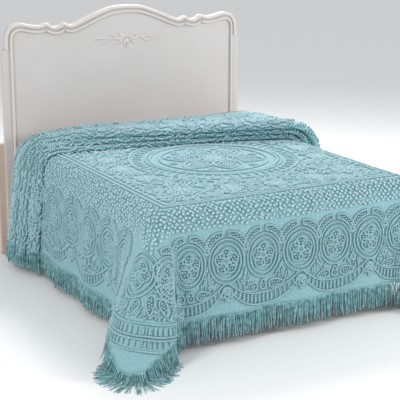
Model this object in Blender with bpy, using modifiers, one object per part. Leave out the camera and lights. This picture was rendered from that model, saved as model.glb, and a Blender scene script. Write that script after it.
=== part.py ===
"""Chenille bedspread, with its fringe, on a plain double bed with a shaped headboard.

Metres, +Z up. X runs across the bed and +Y towards its head.
The origin is on the floor, under the middle of the bed, on the bottom of the plinth.
"""
import math

import bmesh
import bpy
import numpy as np

# Bed
MATTRESS_LENGTH = 1.905
MATTRESS_FOOT_Y = -0.9505
MATTRESS_TOP = 0.7237
MATTRESS_BOTTOM = 0.470
BOX_SPRING_BOTTOM = 0.242
MATTRESS_CORNER = 0.122
PLINTH_HALF_WIDTH = 0.50
PLINTH_FOOT_Y = -0.68
JOINT_GAP = 0.0003

# Headboard, whose front face stands just past the mattress
HEADBOARD_FRONT = 0.9685
HEADBOARD_THICK = 0.034
HEADBOARD_BOTTOM = 0.12
HEADBOARD_STEP_Z = 1.272
HEADBOARD_STEP_X = 0.817
LEG_INNER_X = 0.745
LEG_OUTER_X = 0.862
LEG_TOP = 0.70
LEG_DEPTH = 0.045
HEADBOARD_HALF_WIDTH = 0.800
MOULDING_RADIUS = 0.009
MOULDING_DEPTH = MOULDING_RADIUS * math.cos(math.pi / 6)
MOULDING_INSET = 0.040
MOULDING_END_Z = 0.82

# Cloth: the flat middle, the soft bend over the mattress edge, and the drop below it
CLOTH_THICK = 0.003
CLOTH_TOP = MATTRESS_TOP + JOINT_GAP + CLOTH_THICK / 2
FLAT_HALF_WIDTH = 0.678
FLAT_FOOT_Y = -0.868
BEND_LEG = 0.087
BEND_RATIO = 1.625
BEND_LENGTH = BEND_LEG * BEND_RATIO
EDGE_CLEARANCE = 0.003
SIDE_DROP = 0.630
FOOT_DROP = 0.615
HEM_CORNER_RADIUS = 0.12

# The left edge is softer under the folds at the head, where the bend starts further in
SOFT_EDGE = 0.038
SOFT_FROM_Y = 0.30
SOFT_LENGTH = 0.45

# How the hanging cloth leans out from the vertical, as slopes, and its soft waves
SIDE_LEAN = {-1: 0.085, 1: 0.070}
FOOT_LEAN = 0.045
WAVE_SLOPE = 0.020
WAVE_LENGTH = 0.42
SIDE_FLAP_REACH = 0.26
FOOT_FLAP_REACH = 0.34

# The loose corner: for each angle on the cloth round the corner, in degrees from the side
# to the foot, the slope at which the cloth hangs out to the side and out to the foot
FLAP_COLUMNS = ("angle", "out_side", "out_foot")
FLAP = (
    (0, 0.340, -0.060),
    (14, 0.400, -0.020),
    (26, 0.440, 0.060),
    (35, 0.450, 0.180),
    (42, 0.430, 0.310),
    (49, 0.350, 0.400),
    (56, 0.240, 0.365),
    (65, 0.085, 0.290),
    (77, 0.030, 0.120),
    (90, -0.050, 0.045),
)
FLAP_SCALE = {-1: 1.0, 1: 0.92}

# The cloth's head end lies in three folds. Each row is one turn of the cloth, with its
# place along the bed at the left hem, left edge, left, middle, right, right edge and right hem
FOLD_ACROSS = (-1.35, -0.76, -0.40, 0.0, 0.40, 0.76, 1.35)
FOLDS = (
    ("back", 0.72, 0.71, 0.66, 0.61, 0.55, 0.49, 0.50),
    ("front", 0.46, 0.45, 0.40, 0.34, 0.26, 0.15, 0.16),
    ("back", 0.76, 0.74, 0.69, 0.63, 0.57, 0.51, 0.52),
    ("front", 0.56, 0.53, 0.43, 0.35, 0.25, 0.12, 0.13),
    ("back", 0.80, 0.77, 0.71, 0.65, 0.58, 0.52, 0.54),
    ("front", 0.66, 0.60, 0.46, 0.35, 0.23, 0.09, 0.10),
    ("hem", 0.84, 0.83, 0.82, 0.77, 0.73, 0.70, 0.72),
)
SWELL = (1.0, 0.62, 1.0, 1.0, 1.10, 1.25, 1.2)
PLEAT_PITCH = 0.029
FIRST_LIFT = 0.007
FRONT_RADIUS = 0.011
BACK_RADIUS = 0.005
HEM_LIFT = 0.076
STRETCH_FROM_Y = 0.10

# Fringe
FRINGE_GAP = 0.0009
STRIP_HEIGHT = 0.009
STRAND_LENGTH = 0.109
STRAND_PITCH = 0.036
STRAND_KNEE = 0.8
STRAND_TIP = 0.35
SHORTEST_LYING = 0.02
GRAVITY_PULL = 0.7
STRAND_THICK_ON_FLOOR = 0.004
SHORTEST_ROOT = 0.009

# Steps of the cloth's grid
BEND_STEPS = 4
DROP_STEPS = 5
TOP_STEPS = 8
LENGTH_STEPS = 12
STRETCH_STEPS = 3
LAYER_STEPS = 2
FRONT_TURN_STEPS = 4
BACK_TURN_STEPS = 3


def clear_scene():
    """Start with an empty scene."""
    for obj in list(bpy.data.objects):
        bpy.data.objects.remove(obj)


def material(name, colour, roughness):
    """A plain Principled material in a linear colour."""
    mat = bpy.data.materials.new(name)
    mat.use_nodes = True
    shader = mat.node_tree.nodes["Principled BSDF"]
    shader.inputs["Base Color"].default_value = (*colour, 1.0)
    shader.inputs["Roughness"].default_value = roughness
    shader.inputs["Metallic"].default_value = 0.0
    return mat


def add_object(name, mesh, collection, mat, smooth_angle=None):
    """Put a mesh in the collection as a named object with its own material."""
    obj = bpy.data.objects.new(name, mesh)
    collection.objects.link(obj)
    mesh.materials.clear()
    mesh.materials.append(mat)
    if smooth_angle is not None:
        mesh.shade_smooth()
        mesh.set_sharp_from_angle(angle=math.radians(smooth_angle))
    return obj


def spline(x, knots, values):
    """A smooth curve through values at the knots, read at x."""
    knots = np.asarray(knots, float)
    values = np.asarray(values, float)
    slopes = np.gradient(values, knots)
    x = np.clip(x, knots[0], knots[-1])
    i = np.clip(np.searchsorted(knots, x) - 1, 0, len(knots) - 2)
    width = knots[i + 1] - knots[i]
    u = (x - knots[i]) / width
    start = (1 + 2 * u) * (1 - u) ** 2 * values[i] + u * (1 - u) ** 2 * width * slopes[i]
    end = u ** 2 * (3 - 2 * u) * values[i + 1] + u ** 2 * (u - 1) * width * slopes[i + 1]
    return start + end


def smooth_step(u):
    """Rise smoothly from 0 to 1 as u goes from 0 to 1."""
    u = np.clip(u, 0.0, 1.0)
    return u * u * (3 - 2 * u)


def rows(*columns):
    """Stack columns of numbers into rows of points."""
    return np.stack(np.broadcast_arrays(*columns), axis=-1).astype(float)


def unit(vectors):
    """Vectors of length one."""
    return vectors / np.linalg.norm(vectors, axis=-1, keepdims=True)


def flap_direction(angle, side):
    """Which way the cloth hangs round a foot corner, at an angle in degrees on the cloth."""
    table = dict(zip(FLAP_COLUMNS, zip(*FLAP)))
    scale = FLAP_SCALE[side]
    out_side = spline(angle, table["angle"], table["out_side"]) * scale
    out_foot = spline(angle, table["angle"], table["out_foot"]) * scale
    return unit(rows(side * out_side, -out_foot, -1.0))


def side_direction(y, side):
    """Which way a side panel hangs, at a place along the bed."""
    near = 1 - smooth_step((y - FLAT_FOOT_Y) / SIDE_FLAP_REACH)
    wave = WAVE_SLOPE * np.sin(2 * math.pi * y / WAVE_LENGTH + side)
    lean = SIDE_LEAN[side] + wave
    corner = flap_direction(0.0, side)
    out_corner = side * corner[0] / -corner[2]
    along_corner = corner[1] / -corner[2]
    out = lean * (1 - near) + out_corner * near
    return unit(rows(side * out, along_corner * near, -1.0))


def foot_direction(x):
    """Which way the foot panel hangs, at a place across the bed."""
    side = np.where(x < 0, -1, 1)
    near = 1 - smooth_step((FLAT_HALF_WIDTH - np.abs(x)) / FOOT_FLAP_REACH)
    wave = WAVE_SLOPE * np.sin(2 * math.pi * x / WAVE_LENGTH + 0.5)
    lean = FOOT_LEAN + wave
    left = flap_direction(90.0, -1)
    right = flap_direction(90.0, 1)
    out_corner = np.where(side < 0, left[1] / left[2], right[1] / right[2])
    along_corner = np.where(side < 0, left[0] / -left[2], right[0] / -right[2])
    out = lean * (1 - near) + out_corner * near
    return unit(rows(along_corner * near, -out, -1.0))


def bend(start, outward, down, distance, lift, leg):
    """Cloth that runs outward from a start point and turns down over the mattress edge.

    A longer leg makes the bend softer, and the cloth below it is fitted to end at the same hem.
    """
    extra = leg - BEND_LEG
    straight = SIDE_DROP - BEND_LENGTH - extra
    fit = straight / (straight + extra * (2 - BEND_RATIO))
    w = np.clip(distance / (leg * BEND_RATIO), 0, 1)[..., None]
    rest = (np.clip(distance - leg * BEND_RATIO, 0, None) * fit)[..., None]
    leg = leg[..., None]
    point = start + outward * leg * (2 * w - w * w) + down * (leg * w * w + rest)
    along = unit(outward * (1 - w) + down * w)
    level = np.sum(along * outward, axis=-1, keepdims=True)
    normal = unit(-outward * along[..., 2:] + np.array((0.0, 0.0, 1.0)) * level)
    return point + normal * lift[..., None]


def fold_places(across):
    """Place along the bed of each turn of the cloth, at a distance across it."""
    return [spline(across, FOLD_ACROSS, row[1:]) for row in FOLDS]


def fold_turns():
    """Direction, radius and lower height of each turn, from the bottom fold up."""
    turns = []
    for index, row in enumerate(FOLDS[:-1]):
        pleat = index // 2
        if row[0] == "front":
            turns.append((-1, FRONT_RADIUS, FIRST_LIFT + pleat * PLEAT_PITCH))
        else:
            low = 0.0 if pleat == 0 else pleat * PLEAT_PITCH - BACK_RADIUS
            turns.append((1, BACK_RADIUS, low))
    return turns


def fold_lengths():
    """Length of each turn and each layer past the first, along the middle of the cloth."""
    middle = fold_places(0.0)
    lengths = []
    for index, (_, radius, _) in enumerate(fold_turns()):
        lengths.append(math.pi * radius)
        lengths.append(abs(float(middle[index + 1] - middle[index])))
    return lengths


MAIN_LENGTH = FOLDS[0][4] - FLAT_FOOT_Y
CLOTH_END = MAIN_LENGTH + sum(fold_lengths())


def head_section(across, along):
    """Place along the bed, and height over the first layer, of cloth past the foot bend."""
    places = fold_places(across)
    turns = fold_turns()
    stretch_from = STRETCH_FROM_Y - FLAT_FOOT_Y
    back = places[0] - BACK_RADIUS
    share = (along - stretch_from) / (MAIN_LENGTH - stretch_from)
    y = np.where(share > 0, STRETCH_FROM_Y + (back - STRETCH_FROM_Y) * share, along + FLAT_FOOT_Y)
    lift = np.zeros_like(y)
    begin = MAIN_LENGTH
    for index, length in enumerate(fold_lengths()):
        here = along > begin
        u = np.clip((along - begin) / length, 0, 1)
        facing, radius, low = turns[index // 2]
        centre = places[index // 2] - facing * radius
        if index % 2 == 0:
            turn_y = centre + facing * radius * np.sin(math.pi * u)
            turn_lift = low + radius - radius * np.cos(math.pi * u)
        else:
            last = index // 2 + 1 == len(turns)
            to_facing, to_radius, to_low = (1, 0.0, HEM_LIFT) if last else turns[index // 2 + 1]
            target = places[index // 2 + 1] - to_facing * to_radius
            turn_y = centre + (target - centre) * u
            turn_lift = low + 2 * radius + (to_low - low - 2 * radius) * u
        y = np.where(here, turn_y, y)
        lift = np.where(here, turn_lift, lift)
        begin += length
    return y, lift * spline(across, FOLD_ACROSS, SWELL)


def softer_edge(across, y):
    """How much longer the bend over the mattress edge is, at a place on the bed."""
    return np.where(across < 0, SOFT_EDGE, 0.0) * smooth_step((y - SOFT_FROM_Y) / SOFT_LENGTH)


def drape(across, along):
    """Where a point of the flat cloth lies, and which way the cloth hangs there.

    across is the distance from the cloth's middle line, and along the distance from the
    line where the cloth starts to bend over the foot of the bed, positive to the head.
    """
    across = np.asarray(across, float)
    along = np.asarray(along, float)
    side = np.where(across < 0, -1.0, 1.0)
    y, lift = head_section(across, np.clip(along, 0, None))
    softer = softer_edge(across, y)
    flat = FLAT_HALF_WIDTH - softer
    past_side = np.clip(np.abs(across) - flat, 0, None)
    past_foot = np.clip(-along, 0, None)
    x = np.clip(across, -flat, flat)
    angle = np.arctan2(past_foot, past_side + 1e-12)
    outward = rows(side * np.cos(angle), -np.sin(angle), 0.0)
    on_side = (past_side > 0) & (past_foot == 0)
    in_corner = (past_side > 0) & (past_foot > 0)
    degrees = np.degrees(angle)
    down = foot_direction(x)
    for sign in (-1, 1):
        mine = (side == sign)[..., None]
        down = np.where(mine & on_side[..., None], side_direction(y, sign), down)
        down = np.where(mine & in_corner[..., None], flap_direction(degrees, sign), down)
    start = rows(x, y, CLOTH_TOP)
    return bend(start, outward, down, np.hypot(past_side, past_foot), lift, BEND_LEG + softer), down


def follow_edge(across, along):
    """Move a line of the grid in or out, so that the same lines bound the softer bend."""
    y = head_section(across, np.clip(along, 0, None))[0]
    softer = softer_edge(across, y)
    begin = FLAT_HALF_WIDTH - softer
    end = begin + (BEND_LEG + softer) * BEND_RATIO
    past = np.abs(across) - FLAT_HALF_WIDTH
    turn = begin + (end - begin) * past / BEND_LENGTH
    fall = (past - BEND_LENGTH) / (SIDE_DROP - BEND_LENGTH)
    drop = end + (FLAT_HALF_WIDTH + SIDE_DROP - end) * fall
    moved = np.where(past > BEND_LENGTH, drop, turn)
    moved = np.where(past < 0, np.abs(across) * begin / FLAT_HALF_WIDTH, moved)
    return np.where(across < 0, -moved, moved)


def round_corner(across, along):
    """Pull a point of the square cloth in, so that the hem is round at the foot corners."""
    a = np.clip(np.abs(across) - FLAT_HALF_WIDTH, 0, None) / SIDE_DROP
    b = np.clip(-along, 0, None) / FOOT_DROP
    reach = np.maximum(a, b)
    low = np.minimum(a, b)
    radius = HEM_CORNER_RADIUS / FOOT_DROP
    ratio = low / np.maximum(reach, 1e-9)
    flat = 1 - radius
    corner = flat * (1 + ratio)
    square = 1 + ratio ** 2
    root = np.sqrt(np.clip(corner ** 2 - square * (2 * flat ** 2 - radius ** 2), 0, None))
    arc = (corner + root) / square
    scale = np.where(ratio > flat, arc, 1.0)
    pull = 1 + (scale - 1) * reach ** 2
    side = np.where(across < 0, -1.0, 1.0)
    across = np.where(a > 0, side * (FLAT_HALF_WIDTH + a * pull * SIDE_DROP), across)
    along = np.where(b > 0, -b * pull * FOOT_DROP, along)
    return across, along


def across_lines():
    """Distances across the cloth of the grid's lines, from the left hem to the right hem."""
    drop = np.linspace(SIDE_DROP, BEND_LENGTH, DROP_STEPS + 1)
    turn = np.linspace(BEND_LENGTH, 0, BEND_STEPS + 1)[1:]
    past = np.concatenate((drop, turn)) + FLAT_HALF_WIDTH
    top = np.linspace(-FLAT_HALF_WIDTH, FLAT_HALF_WIDTH, TOP_STEPS + 1)[1:-1]
    return np.concatenate((-past, top, past[::-1]))


def along_lines():
    """Distances along the cloth of the grid's lines, from the foot hem to the head hem."""
    drop = np.linspace(-FOOT_DROP, -BEND_LENGTH, DROP_STEPS + 1)
    turn = np.linspace(-BEND_LENGTH, 0, BEND_STEPS + 1)[1:]
    stretch_from = STRETCH_FROM_Y - FLAT_FOOT_Y
    lines = [drop, turn, np.linspace(0, stretch_from, LENGTH_STEPS + 1)[1:]]
    lines.append(np.linspace(stretch_from, MAIN_LENGTH, STRETCH_STEPS + 1)[1:])
    begin = MAIN_LENGTH
    for index, length in enumerate(fold_lengths()):
        turn_steps = BACK_TURN_STEPS if index % 4 == 0 else FRONT_TURN_STEPS
        steps = turn_steps if index % 2 == 0 else LAYER_STEPS
        lines.append(np.linspace(begin, begin + length, steps + 1)[1:])
        begin += length
    return np.concatenate(lines)


def cloth_grid():
    """Points, normals and ways down of the cloth's grid, one row for each line along it."""
    across, along = np.meshgrid(across_lines(), along_lines())
    points, down = drape(*round_corner(follow_edge(across, along), along))
    normals = unit(np.cross(np.gradient(points, axis=1), np.gradient(points, axis=0)))
    return points, normals, down


def build_bedspread(grid, collection):
    """One sheet of cloth over the bed, given its thickness by Solidify."""
    points = grid[0]
    count_along, count_across = points.shape[:2]
    steps = bmesh.new()
    verts = [[steps.verts.new(points[i, j]) for j in range(count_across)] for i in range(count_along)]
    for i in range(count_along - 1):
        for j in range(count_across - 1):
            square = (verts[i][j], verts[i][j + 1], verts[i + 1][j + 1], verts[i + 1][j])
            if j >= count_across // 2:
                square = square[1:] + square[:1]
            steps.faces.new((square[0], square[1], square[2]))
            steps.faces.new((square[0], square[2], square[3]))
    mesh = bpy.data.meshes.new("bedspread")
    steps.to_mesh(mesh)
    steps.free()
    cloth = material("chenille_cotton", (0.36, 0.60, 0.63), 0.95)
    obj = add_object("bedspread", mesh, collection, cloth, 60)
    shell = obj.modifiers.new("thickness", "SOLIDIFY")
    shell.thickness = CLOTH_THICK
    shell.offset = 0.0
    return obj


def hem_stations(grid, first, last, edge):
    """Stations along one stretch of hem: its points, normals and ways down, finely spaced."""
    points, normals, downs = (layer[edge][first:last] for layer in grid)
    stations = []
    for i in range(len(points) - 1):
        length = np.linalg.norm(points[i + 1] - points[i])
        steps = max(1, round(length / (STRAND_PITCH / 2)))
        for k in range(steps):
            u = k / steps
            stations.append([(1 - u) * line[i] + u * line[i + 1] for line in (points, normals, downs)])
    stations.append([line[-1] for line in (points, normals, downs)])
    return np.array(stations)


def square_to_hem(stations):
    """Turn each station's way down so that it leaves the hem squarely, in the cloth's plane."""
    normals = unit(stations[:, 1])
    away = unit(np.cross(np.gradient(stations[:, 0], axis=0), normals))
    facing = np.sign(np.sum(away * stations[:, 2], axis=1, keepdims=True))
    return np.stack((stations[:, 0], normals, away * facing), axis=1)


def strand_ring(bm, base, offset, shrink):
    """A ring of four corners, moved by offset and drawn in to its own middle."""
    middle = np.mean(base, axis=0)
    return [bm.verts.new(middle + (corner - middle) * shrink + offset) for corner in base]


def join_rings(bm, upper, lower):
    """Faces between two rings of corners."""
    for k in range(len(upper)):
        n = (k + 1) % len(upper)
        bm.faces.new((upper[k], upper[n], lower[n], lower[k]))


def add_strand(bm, corners, way):
    """A lock of fringe from a strip's lower corners, laid level where it meets the floor."""
    base = np.array([corner.co for corner in corners])
    low = base[:, 2].min()
    reach = STRAND_LENGTH * -way[2]
    if low - reach > STRAND_THICK_ON_FLOOR:
        tip = strand_ring(bm, base, way * STRAND_LENGTH, STRAND_TIP)
        join_rings(bm, corners, tip)
        bm.faces.new(tip)
        return
    flat = unit(np.array((way[0], way[1], 0.0)))
    run = (low - STRAND_THICK_ON_FLOOR) / -way[2]
    knee = np.mean(base, axis=0) + way * run
    half = np.linalg.norm(base[1] - base[0]) / 2
    across = unit(np.cross(flat, (0.0, 0.0, 1.0)))
    if np.dot(across, base[1] - base[0]) < 0:
        across = -across
    rings = []
    lying = max(STRAND_LENGTH - run, SHORTEST_LYING)
    for distance, width in ((0.0, half * STRAND_KNEE), (lying, half * STRAND_TIP)):
        place = knee + flat * distance
        outer = np.array((place[0], place[1], STRAND_THICK_ON_FLOOR))
        inner = np.array((place[0], place[1], 0.0))
        wide = across * width
        ring = (outer - wide, outer + wide, inner + wide, inner - wide)
        rings.append([bm.verts.new(corner) for corner in ring])
    join_rings(bm, corners, rings[0])
    join_rings(bm, rings[0], rings[1])
    bm.faces.new(rings[1])


def build_fringe(name, stations, collection):
    """A narrow strip just below the hem, with a lock of fringe on every second step."""
    bm = bmesh.new()
    sections = []
    stations = square_to_hem(stations)
    for point, normal, down in stations:
        half = normal * CLOTH_THICK / 2
        top = point + down * FRINGE_GAP
        low = point + down * (FRINGE_GAP + STRIP_HEIGHT)
        corners = (top + half, top - half, low - half, low + half)
        sections.append([bm.verts.new(corner) for corner in corners])
    strand_next = False
    for station, before, after in zip(stations, sections, sections[1:]):
        for k in (3, 0, 1):
            n = (k + 1) % 4
            bm.faces.new((before[k], before[n], after[n], after[k]))
        corners = [before[3], after[3], after[2], before[2]]
        width = (after[3].co - before[3].co).length
        strand_next = not strand_next
        if strand_next and width > SHORTEST_ROOT:
            add_strand(bm, corners, unit(station[2] + np.array((0.0, 0.0, -GRAVITY_PULL))))
        else:
            bm.faces.new(corners)
    bm.faces.new(sections[0])
    bm.faces.new(sections[-1])
    bmesh.ops.recalc_face_normals(bm, faces=bm.faces)
    mesh = bpy.data.meshes.new(name)
    bm.to_mesh(mesh)
    bm.free()
    yarn = material(name + "_cotton_yarn", (0.30, 0.53, 0.56), 0.95)
    return add_object(name, mesh, collection, yarn)


def build_fringes(grid, collection):
    """Fringe on the two sides, on the foot and round the two loose corners."""
    last = DROP_STEPS + BEND_STEPS
    columns = len(across_lines())
    lines = len(along_lines())
    left = (slice(None), 0)
    right = (slice(None), columns - 1)
    foot = (0, slice(None))
    build_fringe("fringe_left", hem_stations(grid, last, lines, left), collection)
    build_fringe("fringe_right", hem_stations(grid, last, lines, right), collection)
    build_fringe("fringe_foot", hem_stations(grid, last, columns - last, foot), collection)
    side_part = hem_stations(grid, 0, last + 1, left)
    foot_part = hem_stations(grid, 0, last + 1, foot)
    run = np.concatenate((side_part[::-1], foot_part[1:]))
    build_fringe("fringe_corner_left", run[1:-1], collection)
    side_part = hem_stations(grid, 0, last + 1, right)
    foot_part = hem_stations(grid, columns - 1 - last, columns, foot)
    run = np.concatenate((foot_part[:-1], side_part))
    build_fringe("fringe_corner_right", run[1:-1], collection)


def rounded_box(name, low, high, radius, segments, collection, mat):
    """A box between two corners, with its edges rounded by a Bevel."""
    bm = bmesh.new()
    bmesh.ops.create_cube(bm, size=1.0)
    size = [b - a for a, b in zip(low, high)]
    middle = [(a + b) / 2 for a, b in zip(low, high)]
    bmesh.ops.scale(bm, vec=size, verts=bm.verts)
    mesh = bpy.data.meshes.new(name)
    bm.to_mesh(mesh)
    bm.free()
    obj = add_object(name, mesh, collection, mat, 40)
    obj.location = middle
    edge = obj.modifiers.new("edges", "BEVEL")
    edge.width = radius
    edge.segments = segments
    return obj


def build_bed(collection):
    """Mattress, box spring and the plinth that stands on the floor."""
    half = FLAT_HALF_WIDTH + BEND_LEG - CLOTH_THICK / 2 - EDGE_CLEARANCE
    head = MATTRESS_FOOT_Y + MATTRESS_LENGTH
    linen = material("cream_cotton", (0.82, 0.72, 0.60), 0.9)
    rounded_box("mattress", (-half, MATTRESS_FOOT_Y, MATTRESS_BOTTOM), (half, head, MATTRESS_TOP),
                MATTRESS_CORNER, 5, collection, linen)
    ticking = material("woven_ticking", (0.78, 0.70, 0.60), 0.9)
    rounded_box("box_spring", (-half, MATTRESS_FOOT_Y, BOX_SPRING_BOTTOM),
                (half, head, MATTRESS_BOTTOM - JOINT_GAP), 0.03, 2, collection, ticking)
    board = material("painted_board", (0.62, 0.58, 0.55), 0.6)
    rounded_box("plinth", (-PLINTH_HALF_WIDTH, PLINTH_FOOT_Y, 0.0),
                (PLINTH_HALF_WIDTH, HEADBOARD_FRONT - JOINT_GAP, BOX_SPRING_BOTTOM - JOINT_GAP),
                0.004, 1, collection, board)


# Headboard's top edge from the middle to the right: distance out and height of each point
TOP_EDGE = (
    (0.000, 1.506),
    (0.100, 1.499),
    (0.190, 1.471),
    (0.260, 1.443),
    (0.330, 1.414),
    (0.375, 1.402),
    (0.420, 1.417),
    (0.450, 1.400),
    (0.481, 1.396),
    (0.533, 1.421),
    (0.571, 1.409),
    (0.620, 1.412),
    (0.715, 1.428),
    (0.768, 1.407),
    (0.796, 1.360),
    (0.800, 1.320),
)
EDGE_STEPS = 3


def top_edge(inset):
    """Points of the headboard's edge from the middle out to the step, drawn in by an inset."""
    table = np.array(TOP_EDGE)
    travel = np.concatenate(([0], np.cumsum(np.linalg.norm(np.diff(table, axis=0), axis=1))))
    at = np.interp(np.arange(EDGE_STEPS * (len(table) - 1) + 1) / EDGE_STEPS, np.arange(len(table)), travel)
    points = rows(spline(at, travel, table[:, 0]), spline(at, travel, table[:, 1]))
    along = unit(np.gradient(points, axis=0))
    along[0] = (1.0, 0.0)
    return points + rows(along[:, 1], -along[:, 0]) * inset


def outline_curve(name, points, closed):
    """A flat curve object through points given as distance out and height."""
    curve = bpy.data.curves.new(name, "CURVE")
    curve.dimensions = "2D" if closed else "3D"
    line = curve.splines.new("POLY")
    line.points.add(len(points) - 1)
    for target, (x, z) in zip(line.points, points):
        target.co = (x, z, 0.0, 1.0)
    line.use_cyclic_u = closed
    return curve


def build_headboard(collection):
    """Painted board with a shaped top, a raised moulding and two legs."""
    paint = material("painted_wood", (0.62, 0.59, 0.57), 0.45)
    half = [(x, z) for x, z in top_edge(0.0)]
    half += [(HEADBOARD_HALF_WIDTH, HEADBOARD_STEP_Z), (HEADBOARD_STEP_X, HEADBOARD_STEP_Z)]
    half += [(HEADBOARD_STEP_X, HEADBOARD_BOTTOM)]
    outline = half + [(-x, z) for x, z in reversed(half[1:])]
    curve = outline_curve("headboard_panel", outline, True)
    curve.fill_mode = "BOTH"
    curve.extrude = HEADBOARD_THICK / 2
    panel = bpy.data.objects.new("headboard_panel", curve)
    collection.objects.link(panel)
    curve.materials.append(paint)
    panel.rotation_euler = (math.pi / 2, 0.0, 0.0)
    panel.location = (0.0, HEADBOARD_FRONT + HEADBOARD_THICK / 2, 0.0)
    bead_half = [(x, z) for x, z in top_edge(MOULDING_INSET)]
    bead_half += [(HEADBOARD_HALF_WIDTH - MOULDING_INSET, MOULDING_END_Z)]
    bead = [(-x, z) for x, z in reversed(bead_half[1:])] + bead_half
    trim = outline_curve("headboard_moulding", bead, False)
    trim.bevel_depth = MOULDING_RADIUS
    trim.bevel_resolution = 1
    trim.use_fill_caps = True
    moulding = bpy.data.objects.new("headboard_moulding", trim)
    collection.objects.link(moulding)
    trim.materials.append(material("painted_wood_trim", (0.70, 0.67, 0.65), 0.45))
    moulding.rotation_euler = (math.pi / 2, 0.0, 0.0)
    moulding.location = (0.0, HEADBOARD_FRONT - MOULDING_DEPTH - JOINT_GAP, 0.0)
    back = HEADBOARD_FRONT + HEADBOARD_THICK + JOINT_GAP
    for name, side in (("left", -1), ("right", 1)):
        xs = sorted((side * LEG_INNER_X, side * LEG_OUTER_X))
        paint_leg = material("painted_wood_leg_" + name, (0.60, 0.52, 0.47), 0.5)
        rounded_box("headboard_leg_" + name, (xs[0], back, 0.0), (xs[1], back + LEG_DEPTH, LEG_TOP),
                    0.008, 2, collection, paint_leg)


def main():
    clear_scene()
    collection = bpy.data.collections.new("chenille_bedspread")
    bpy.context.scene.collection.children.link(collection)
    grid = cloth_grid()
    build_bedspread(grid, collection)
    build_fringes(grid, collection)
    build_bed(collection)
    build_headboard(collection)


main()
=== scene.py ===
"""Looks of a chenille bedspread on a double bed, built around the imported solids.

Metres, +Z up, +X across the bed and +Y towards its head. The pattern of tufts is laid out on
the flat cloth, as distances across and along it, and then put where the draped cloth lies.
"""

import math

import bmesh
import bpy
import numpy as np
from mathutils import Matrix, Vector, kdtree


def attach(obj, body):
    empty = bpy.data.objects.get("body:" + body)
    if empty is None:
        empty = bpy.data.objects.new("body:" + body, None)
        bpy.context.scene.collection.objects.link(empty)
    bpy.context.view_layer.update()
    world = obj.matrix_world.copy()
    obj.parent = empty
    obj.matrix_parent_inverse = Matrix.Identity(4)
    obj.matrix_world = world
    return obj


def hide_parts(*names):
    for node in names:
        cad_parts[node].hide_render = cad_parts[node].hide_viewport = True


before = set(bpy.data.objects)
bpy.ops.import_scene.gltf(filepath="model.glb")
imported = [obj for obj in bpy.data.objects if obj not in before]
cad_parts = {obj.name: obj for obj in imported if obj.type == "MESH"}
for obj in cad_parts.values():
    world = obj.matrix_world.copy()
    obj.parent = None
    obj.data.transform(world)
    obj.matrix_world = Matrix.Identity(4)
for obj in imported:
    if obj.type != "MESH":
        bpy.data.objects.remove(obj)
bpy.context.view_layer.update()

# Bed
MATTRESS_TOP = 0.7237
MATTRESS_BOTTOM = 0.470
MATTRESS_FOOT_Y = -0.9505
MATTRESS_HEAD_Y = 0.9545
MATTRESS_HALF_WIDTH = 0.7605
BOX_SPRING_BOTTOM = 0.242
HEADBOARD_FRONT = 0.9685
HEADBOARD_EDGE_X = 0.800

# Cloth: the flat middle, the soft bend over the mattress edge, and the drop below it
CLOTH_THICK = 0.003
CLOTH_TOP = 0.7255
FLAT_HALF_WIDTH = 0.678
FLAT_FOOT_Y = -0.868
BEND_LEG = 0.087
BEND_RATIO = 1.625
BEND_LENGTH = BEND_LEG * BEND_RATIO
SIDE_DROP = 0.630
FOOT_DROP = 0.615
HEM_CORNER_RADIUS = 0.12
SOFT_EDGE = 0.038
SOFT_FROM_Y = 0.30
SOFT_LENGTH = 0.45

# How the hanging cloth leans out from the vertical, as slopes, and its soft waves
SIDE_LEAN = {-1: 0.085, 1: 0.070}
FOOT_LEAN = 0.045
WAVE_SLOPE = 0.020
WAVE_LENGTH = 0.42
SIDE_FLAP_REACH = 0.26
FOOT_FLAP_REACH = 0.34

# The loose corner: for each angle on the cloth round the corner, in degrees from the side
# to the foot, the slope at which the cloth hangs out to the side and out to the foot
FLAP_COLUMNS = ("angle", "out_side", "out_foot")
FLAP = (
    (0, 0.340, -0.060),
    (14, 0.400, -0.020),
    (26, 0.440, 0.060),
    (35, 0.450, 0.180),
    (42, 0.430, 0.310),
    (49, 0.350, 0.400),
    (56, 0.240, 0.365),
    (65, 0.085, 0.290),
    (77, 0.030, 0.120),
    (90, -0.050, 0.045),
)
FLAP_SCALE = {-1: 1.0, 1: 0.92}

# The cloth's head end lies in three folds. Each row is one turn of the cloth, with its
# place along the bed at the left hem, left edge, left, middle, right, right edge and right hem
FOLD_ACROSS = (-1.35, -0.76, -0.40, 0.0, 0.40, 0.76, 1.35)
FOLDS = (
    ("back", 0.72, 0.71, 0.66, 0.61, 0.55, 0.49, 0.50),
    ("front", 0.46, 0.45, 0.40, 0.34, 0.26, 0.15, 0.16),
    ("back", 0.76, 0.74, 0.69, 0.63, 0.57, 0.51, 0.52),
    ("front", 0.56, 0.53, 0.43, 0.35, 0.25, 0.12, 0.13),
    ("back", 0.80, 0.77, 0.71, 0.65, 0.58, 0.52, 0.54),
    ("front", 0.66, 0.60, 0.46, 0.35, 0.23, 0.09, 0.10),
    ("hem", 0.84, 0.83, 0.82, 0.77, 0.73, 0.70, 0.72),
)
FRONTS = [index for index, row in enumerate(FOLDS) if row[0] == "front"]
SWELL = (1.0, 0.62, 1.0, 1.0, 1.10, 1.25, 1.2)
PLEAT_PITCH = 0.029
FIRST_LIFT = 0.007
FRONT_RADIUS = 0.011
BACK_RADIUS = 0.005
ROLL_WIDTH = 0.120
ROLL_HEIGHT = 0.016
HEM_LIFT = 0.076
STRETCH_FROM_Y = 0.10

# Steps of the cloth's fine grid
BEND_STEPS = 10
DROP_STEPS = 27
TOP_STEPS = 66
LENGTH_STEPS = 54
STRETCH_STEPS = 28
LAYER_STEPS = 16
TURN_STEPS = 6

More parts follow.
